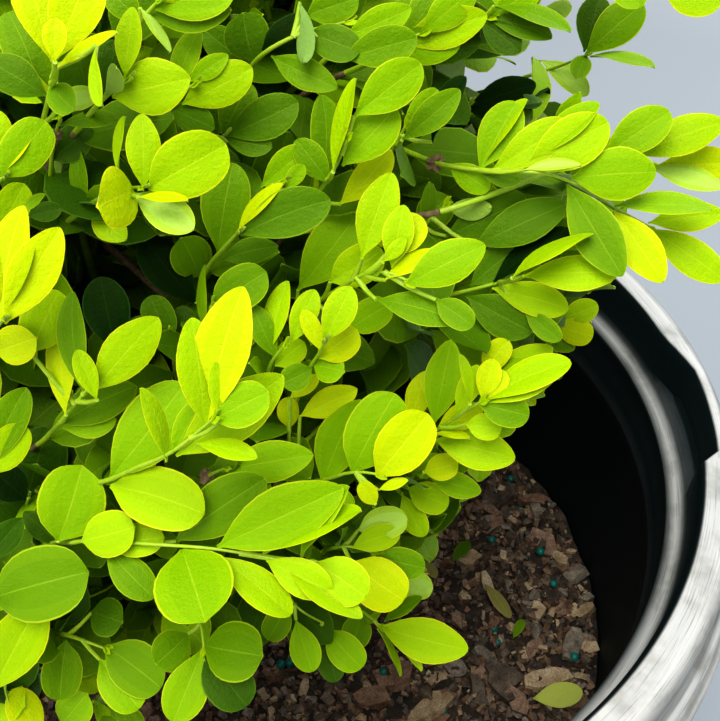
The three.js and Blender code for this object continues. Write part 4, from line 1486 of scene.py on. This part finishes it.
def growShown(number, shoot):
    rng = np.random.default_rng(seeds["shown"] + number)
    stem = smoothLine([onCrown(*point) for point in shoot["stem"]], 24)
    px, py, depths = pixelOf(stem)

    def pointBy(x, y):
        # number of the stem's point that shows nearest to a pixel
        return int(np.argmin((px - x) ** 2 + (py - y) ** 2))

    last = max(6, *[pointBy(leaf[0], leaf[1]) for leaf in shoot["leaves"]])
    home, behind = runBehind(stem)
    whole = smoothLine([*behind, *stem[:last + 1:3], stem[last]], 48)
    run = np.linalg.norm(whole - behind[0], axis=1) / (np.linalg.norm(stem[0] - behind[0]) + 1)
    thick = shownGrowth["stemRadius"]
    radii = np.interp(run, [0, 0.85, 1.0, run[-1] + 0.01],
                      [shownGrowth["runRadius"], thick * 1.1, thick, thick * 0.45])
    green = int(np.searchsorted(run, shownGrowth["greenFrom"]))
    twigParts.append(tube(whole[:green + 1], radii[:green + 1], 8, brownTwig))
    twigParts.append(tube(whole[green:], radii[green:], 8, greenTwig))
    if shoot["stem"][0][2] > 0:
        low, high = shownGrowth["hiddenPart"]
        hiddenRuns.append((number, home, whole[(run > low) & (run < high)]))
    ahead = unit(stem[last] - stem[last - 2])
    tip = stem[last] - ahead * 0.5
    for sign in (-1, 1):
        # a pair of leaflets closes the tip
        lean = unit(np.cross(ahead, lightWay)) * 0.25 * sign
        foliage.add(pieceOf(home), tip, ahead + lean, lightWay + lean, *shownGrowth["tipLeaflet"], True)
    for x, y, size in shoot.get("seedCases", []):
        addSeedCases(rng, stem[pointBy(x, y)], size)
    for leaf in shoot["leaves"]:
        nearby = pointBy(leaf[0], leaf[1])
        placeShownLeaf(rng, home, stem, nearby, depths[nearby] - sum(leaf[6:]), leaf[:6])


# Shoots of the rest of the crown. Each mass's bough forks into twigs, and each twig ends in a
# shoot with its leaves in crossed pairs.

growth = {
    "samples": 1400,  # points tried on each mass
    "spacing": 17.5,  # between the tips of shoots
    "axisHeights": (235.0, 330.0),  # shoots point away from this stretch of the crown's axis
    "shootLength": (34.0, 56.0),
    "ballRadius": (101.0, 110.0),  # no shoot ends farther from the crown's middle
    "setBack": 7.0,  # the step by which a shoot that is in the way is moved in
    "setBacks": 6,
    "shootsPerFork": 5,
    "forkPlace": 0.55,  # share of the way from the bough's end to the middle of its shoots
    "pairs": (5, 8),
    "vigour": (0.88, 1.08),
    "leafLength": 21.0,
    "leafWidth": 0.56,
    "lengthRange": (0.88, 1.1),
    "widthRange": (0.9, 1.12),
    "leafTurn": 0.18,  # how far the pairs stray from a right angle with one another
    "leafSpread": 5,
    "leafLean": 0.07,
    "leafRoll": 0.10,
    "ageRange": 0.35,
    "innerShare": 0.6,  # of the twigs have older, smaller leaves too
    "innerPairs": 3,
    "innerFrom": 0.35,
    "innerVigour": 0.82,
    "innerAge": (2.2, 0.5),
    "forkRadius": 2.0,
    "twigRadius": 1.5,
    "runRadius": 1.1,
    "shootRadius": 0.75,
    "tipRadius": 0.4,
    # how the leaves change along a shoot, from its foot to its tip
    "sizes": ([0, 0.35, 0.7, 0.9, 1.0], [0.78, 1.0, 0.95, 0.72, 0.45]),
    "spreads": ([0, 0.4, 0.8, 1.0], [62, 55, 42, 20]),  # degrees from the stem
    "widths": ([0, 0.8, 1], [1.05, 1, 0.8]),
    "ages": ([0, 0.45, 0.85, 1.0], [3.4, 2.4, 1.5, 0.5]),
    # how much darker a shoot's leaves are, at random, and as painted shade at the foot of the crown, for
    # each step that the shoot was moved in, and behind the shown ones
    "depthShade": 0.8,
    "randomShade": 0.45,
    "moveShade": 0.55,
    "pictureShade": 1.1,
}


def pieceOf(massName):
    # the joined piece that a mass's leaves go to
    level = massName.split("_")[1]
    if level == "top":
        return "leavesTop"
    front = massName[-1] in ("126" if level == "middle" else "12")
    return "leaves" + level.capitalize() + ("Front" if front else "Back")


def leafPairs(rng, line, pairs, vigour, shadeStep, first=0.1):
    # crossed pairs of leaves along a shoot, large in the middle, small and upright at the tip
    along = unit(np.gradient(line, axis=0))
    turn = rng.uniform(0, np.pi)
    leaves = []
    for k, place in enumerate(np.linspace(first, 1.0, pairs)):
        spot = place * (len(line) - 1)
        low = int(min(spot, len(line) - 2))
        part = spot - low
        base = line[low] * (1 - part) + line[low + 1] * part
        way = unit(along[low] * (1 - part) + along[low + 1] * part)
        flat = unit(np.cross(way, lightWay) + 1e-6)
        other = np.cross(flat, way)
        size = np.interp(place, *growth["sizes"])
        spread = math.radians(np.interp(place, *growth["spreads"]) + rng.normal(0, growth["leafSpread"]))
        angle = turn + k * np.pi / 2 + rng.normal(0, growth["leafTurn"])
        for sign in (1, -1):
            side = sign * (math.cos(angle) * flat + math.sin(angle) * other)
            lean = rng.normal(0, growth["leafLean"], 3)
            leafWay = unit(way * math.cos(spread) + side * math.sin(spread) + lean)
            inward = unit(way * math.sin(spread) - side * math.cos(spread))
            up = inward * 0.75 + lightWay * 0.65 + rng.normal(0, growth["leafRoll"], 3)
            length = growth["leafLength"] * size * vigour * rng.uniform(*growth["lengthRange"])
            width = length * growth["leafWidth"] * rng.uniform(*growth["widthRange"])
            width *= np.interp(place, *growth["widths"])
            # the leaf's age, darkened by painted shade, picks its family
            ageAndShade = np.interp(place, *growth["ages"]) + shadeStep + rng.normal(0, growth["ageRange"])
            shape = int(rng.integers(2 * len(shapeKinds)))
            family = int(np.clip(round(ageAndShade), 0, darkestFamily))
            leaves.append(Leaf(base + side * 0.5, leafWay, up, length, width, shape, family, False))
    return leaves


def trimmed(line, leaves):
    # the line as far as the last point that carries a leaf
    last = 2
    for leaf in leaves:
        last = max(last, int(np.argmin(np.linalg.norm(line - leaf.base, axis=1))) + 1)
    return line[:min(last, len(line))]


def keepClear(leaves):
    # the leaves that may stay, whose base, middle and tip all stand clear
    if not leaves:
        return []
    base = np.array([leaf.base for leaf in leaves])
    reach = np.array([leaf.way * leaf.length for leaf in leaves])
    clear = standsClear(base) & standsClear(base + reach * 0.5) & standsClear(base + reach)
    return [leaf for leaf, stays in zip(leaves, clear) if stays]


def leafHiddenRun(number, home, line):
    # older leaves, darker still with painted shade, on the run behind a shown shoot, where they leave the
    # shown ones in view
    rng = np.random.default_rng(seeds["hidden"] + number)
    far = np.linalg.norm(np.diff(line, axis=0), axis=1).sum()
    pairs = max(3, int(far / shownGrowth["hiddenSpacing"]))
    for leaf in keepClear(leafPairs(rng, line, pairs, *shownGrowth["hiddenLeaves"])):
        foliage.add(pieceOf(home), *leaf)


def spreadTips(rng, name):
    # evenly scattered points on the outer side of a mass, with the direction out of the crown
    verts, tris = nodeTriangles(name)
    corners = verts[tris]
    normals = np.cross(corners[:, 1] - corners[:, 0], corners[:, 2] - corners[:, 0])
    areas = np.linalg.norm(normals, axis=1) / 2
    normals = unit(normals)
    pick = rng.choice(len(tris), size=growth["samples"], p=areas / areas.sum())
    mix = rng.dirichlet((1, 1, 1), size=growth["samples"])
    points = np.einsum("ij,ijk->ik", mix, corners[pick])
    level = np.clip(points[:, 2:3], *growth["axisHeights"])
    out = unit(points - crownCentre * (1, 1, 0) - (0, 0, 1) * level)
    keep = np.sum(out * normals[pick], axis=1) > 0.12
    chosen = []
    for point, way in zip(points[keep], out[keep]):
        if all(np.linalg.norm(point - other[0]) > growth["spacing"] for other in chosen):
            chosen.append((point, way))
    return chosen


def planShoots(rng, name, start):
    # the foot, tip, direction and length of each of a mass's shoots, and how often it was moved in
    shoots = []
    for point, out in spreadTips(rng, name):
        length = rng.uniform(*growth["shootLength"])
        point = within(point, rng.uniform(*growth["ballRadius"]))
        rise = (0, 0, 0.45 if point[2] > 230 else 0.15)
        way = unit(out + rise + rng.normal(0, 0.26, 3))
        moves = 0
        while moves < growth["setBacks"] and not standsClear(point + way * 6)[0]:
            # it would hide the shown ones
            point = point - out * growth["setBack"]
            moves += 1
        length = min(length, np.linalg.norm(point - start) * 0.8)
        shoots.append((point - way * length, point, way, length, moves))
    return shoots


def planForks(rng, bases, start):
    # where the bough forks to reach the shoots, and the number of each shoot's fork
    groups = max(3, len(bases) // growth["shootsPerFork"])
    hubs = bases[rng.choice(len(bases), groups, replace=False)]
    for turn in range(6):
        near = np.argmin(np.linalg.norm(bases[:, None] - hubs[None], axis=2), axis=1)
        hubs = np.array([bases[near == k].mean(axis=0) if np.any(near == k) else hubs[k]
                         for k in range(groups)])
    return start + (hubs - start) * growth["forkPlace"], near


def growShoot(rng, piece, fork, base, point, way, length, moves):
    # a twig from its fork to the shoot's foot, and the shoot
    twig = smoothLine([fork, fork * 0.45 + base * 0.55 + (0, 0, -1.5), base], 6)
    shoot = smoothLine([base, base + way * length * 0.5 + rng.normal(0, 1.6, 3), point], 9)
    depth = np.clip((crownCentre[2] - point[2]) / 120, 0, 1)
    pairs = int(rng.integers(*growth["pairs"]))
    shade = depth * growth["depthShade"] + rng.normal(0, growth["randomShade"])
    shade = shade + moves * growth["moveShade"]
    if inPicture(point):
        shade += growth["pictureShade"]
    outer = keepClear(leafPairs(rng, shoot, pairs, rng.uniform(*growth["vigour"]), shade))
    inner = []
    if rng.uniform() < growth["innerShare"]:
        mean, deviation = growth["innerAge"]
        ageAndShade = mean + rng.normal(0, deviation)
        inner = leafPairs(rng, twig, growth["innerPairs"], growth["innerVigour"], ageAndShade, growth["innerFrom"])
        inner = keepClear(inner)
    if len(outer) < 3 or np.mean(standsClear(shoot)) < 0.7:
        outer = []
    if outer or inner:
        run = twig if outer else trimmed(twig, inner)
        radii = np.linspace(growth["runRadius"], growth["shootRadius"], len(run))
        twigParts.append(tube(run, radii, 6, oliveTwig))
    if outer:
        run = trimmed(shoot, outer)
        radii = np.linspace(growth["shootRadius"], growth["tipRadius"], len(run))
        twigParts.append(tube(run, radii, 6, greenTwig))
    for leaf in outer + inner:
        foliage.add(piece, *leaf)


def growMass(name, seed):
    rng = np.random.default_rng(seed)
    start = boughLines[name][-1]
    outward = unit(boughLines[name][-1] - boughLines[name][-3])
    shoots = planShoots(rng, name, start)
    forks, near = planForks(rng, np.array([shoot[0] for shoot in shoots]), start)
    for k, fork in enumerate(forks):
        if np.any(near == k):
            line = smoothLine([start - outward * 2, start + outward * 4, (start + fork) / 2, fork], 7)
            radii = np.linspace(growth["forkRadius"], growth["twigRadius"], len(line))
            twigParts.append(tube(line, radii, 7, brownTwig))
    for shoot, k in zip(shoots, near):
        if shoot[3] >= 8:
            growShoot(rng, pieceOf(name), forks[k], *shoot)


for number, shoot in enumerate(shownShoots):
    growShown(number, shoot)
for number, home, line in hiddenRuns:
    leafHiddenRun(number, home, line)
print("shown shoots grown", foliage.count(), "leaves")
for number, name in enumerate(massNames):
    growMass(name, seeds["mass"] + number)
print("shoots grown", foliage.count(), "leaves")


# the fallen leaves that show: pixels of the base and the tip, width in mm, number of the colours
shownFallen = [
    ((532, 701), (581, 695), 8.5, 0),
    ((484, 588), (509, 622), 6.0, 7),
    ((452, 565), (468, 546), 5.0, 4),
    ((513, 640), (522, 626), 3.5, 3),
    ((420, 562), (436, 580), 4.5, 7),
]
otherFallen = 26  # tried out of the picture


def layFallenLeaves():
    rng = np.random.default_rng(53)
    for base, tip, width, family in shownFallen:
        bx, by = onSoil(*base)
        tx, ty = onSoil(*tip)
        lift = 2.6 if family > 2 else 4.4  # the largest lies on the chips
        start = np.array([bx, by, soilHeight(bx, by) + lift])
        end = np.array([tx, ty, soilHeight(tx, ty) + lift + 0.4])
        up = (0.1, 0.1, 1) if family > 2 else (0.1, 0.3, -1)  # a young one lies upside down
        length = np.linalg.norm(end - start)
        foliage.add("fallenLeaves", start, end - start, up, length, width, 8, family, True)
    for number in range(otherFallen):
        radius, angle = strewn(rng, wallAtSoil, 0.1, 0.85)
        x, y = radius * math.cos(angle), radius * math.sin(angle)
        if inPicture((x, y, soil["level"])) or pixelOf((x, y, soil["level"]))[1] > 480:
            continue
        way = (math.cos(angle * 7), math.sin(angle * 7), 0.05)
        place = (x, y, soilHeight(x, y) + 2.4)
        length, width = rng.uniform(11, 18), rng.uniform(5, 8)
        shape, family = int(rng.integers(5)), int(rng.choice([3, 4, 7, 7]))
        foliage.add("fallenLeaves", place, way, (0.1, -0.1, 1), length, width, shape, family, False)


layFallenLeaves()

# each twig's tones, seed, roughness and finish, in the order of its numbers
twigKinds = {
    "twigBrown": ([(0.15, 0.09, 0.042), (0.26, 0.165, 0.080), (0.38, 0.25, 0.13)], 33, 0.8, barkFinish),
    "twigOlive": ([(0.09, 0.14, 0.012), (0.15, 0.24, 0.020), (0.22, 0.31, 0.04)], 34, 0.7,
                  {**barkFinish, "fleckTone": 0.7, "relief": 0.4}),
    "twigGreen": ([(0.28, 0.46, 0.006), (0.36, 0.55, 0.010), (0.46, 0.60, 0.03)], 35, 0.5,
                  {**barkFinish, "fleckTone": 0.85, "relief": 0.15}),
}
twigMaterials = [mottledMaterial(twigName, *values) for twigName, values in twigKinds.items()]
twigPiece = meshPiece("twigs", twigParts, twigMaterials, 60)
finishPiece(twigPiece, "bark")

for pieceName in sorted(foliage.leaves):
    leafPiece = meshPiece(pieceName, foliage.parts(pieceName), leafMaterials, 40)
    finishPiece(leafPiece, "leaves", *[name for name in massNames if pieceOf(name) == pieceName])
    leafPiece.data.calc_loop_triangles()
    print(pieceName, len(leafPiece.data.loop_triangles), "triangles")
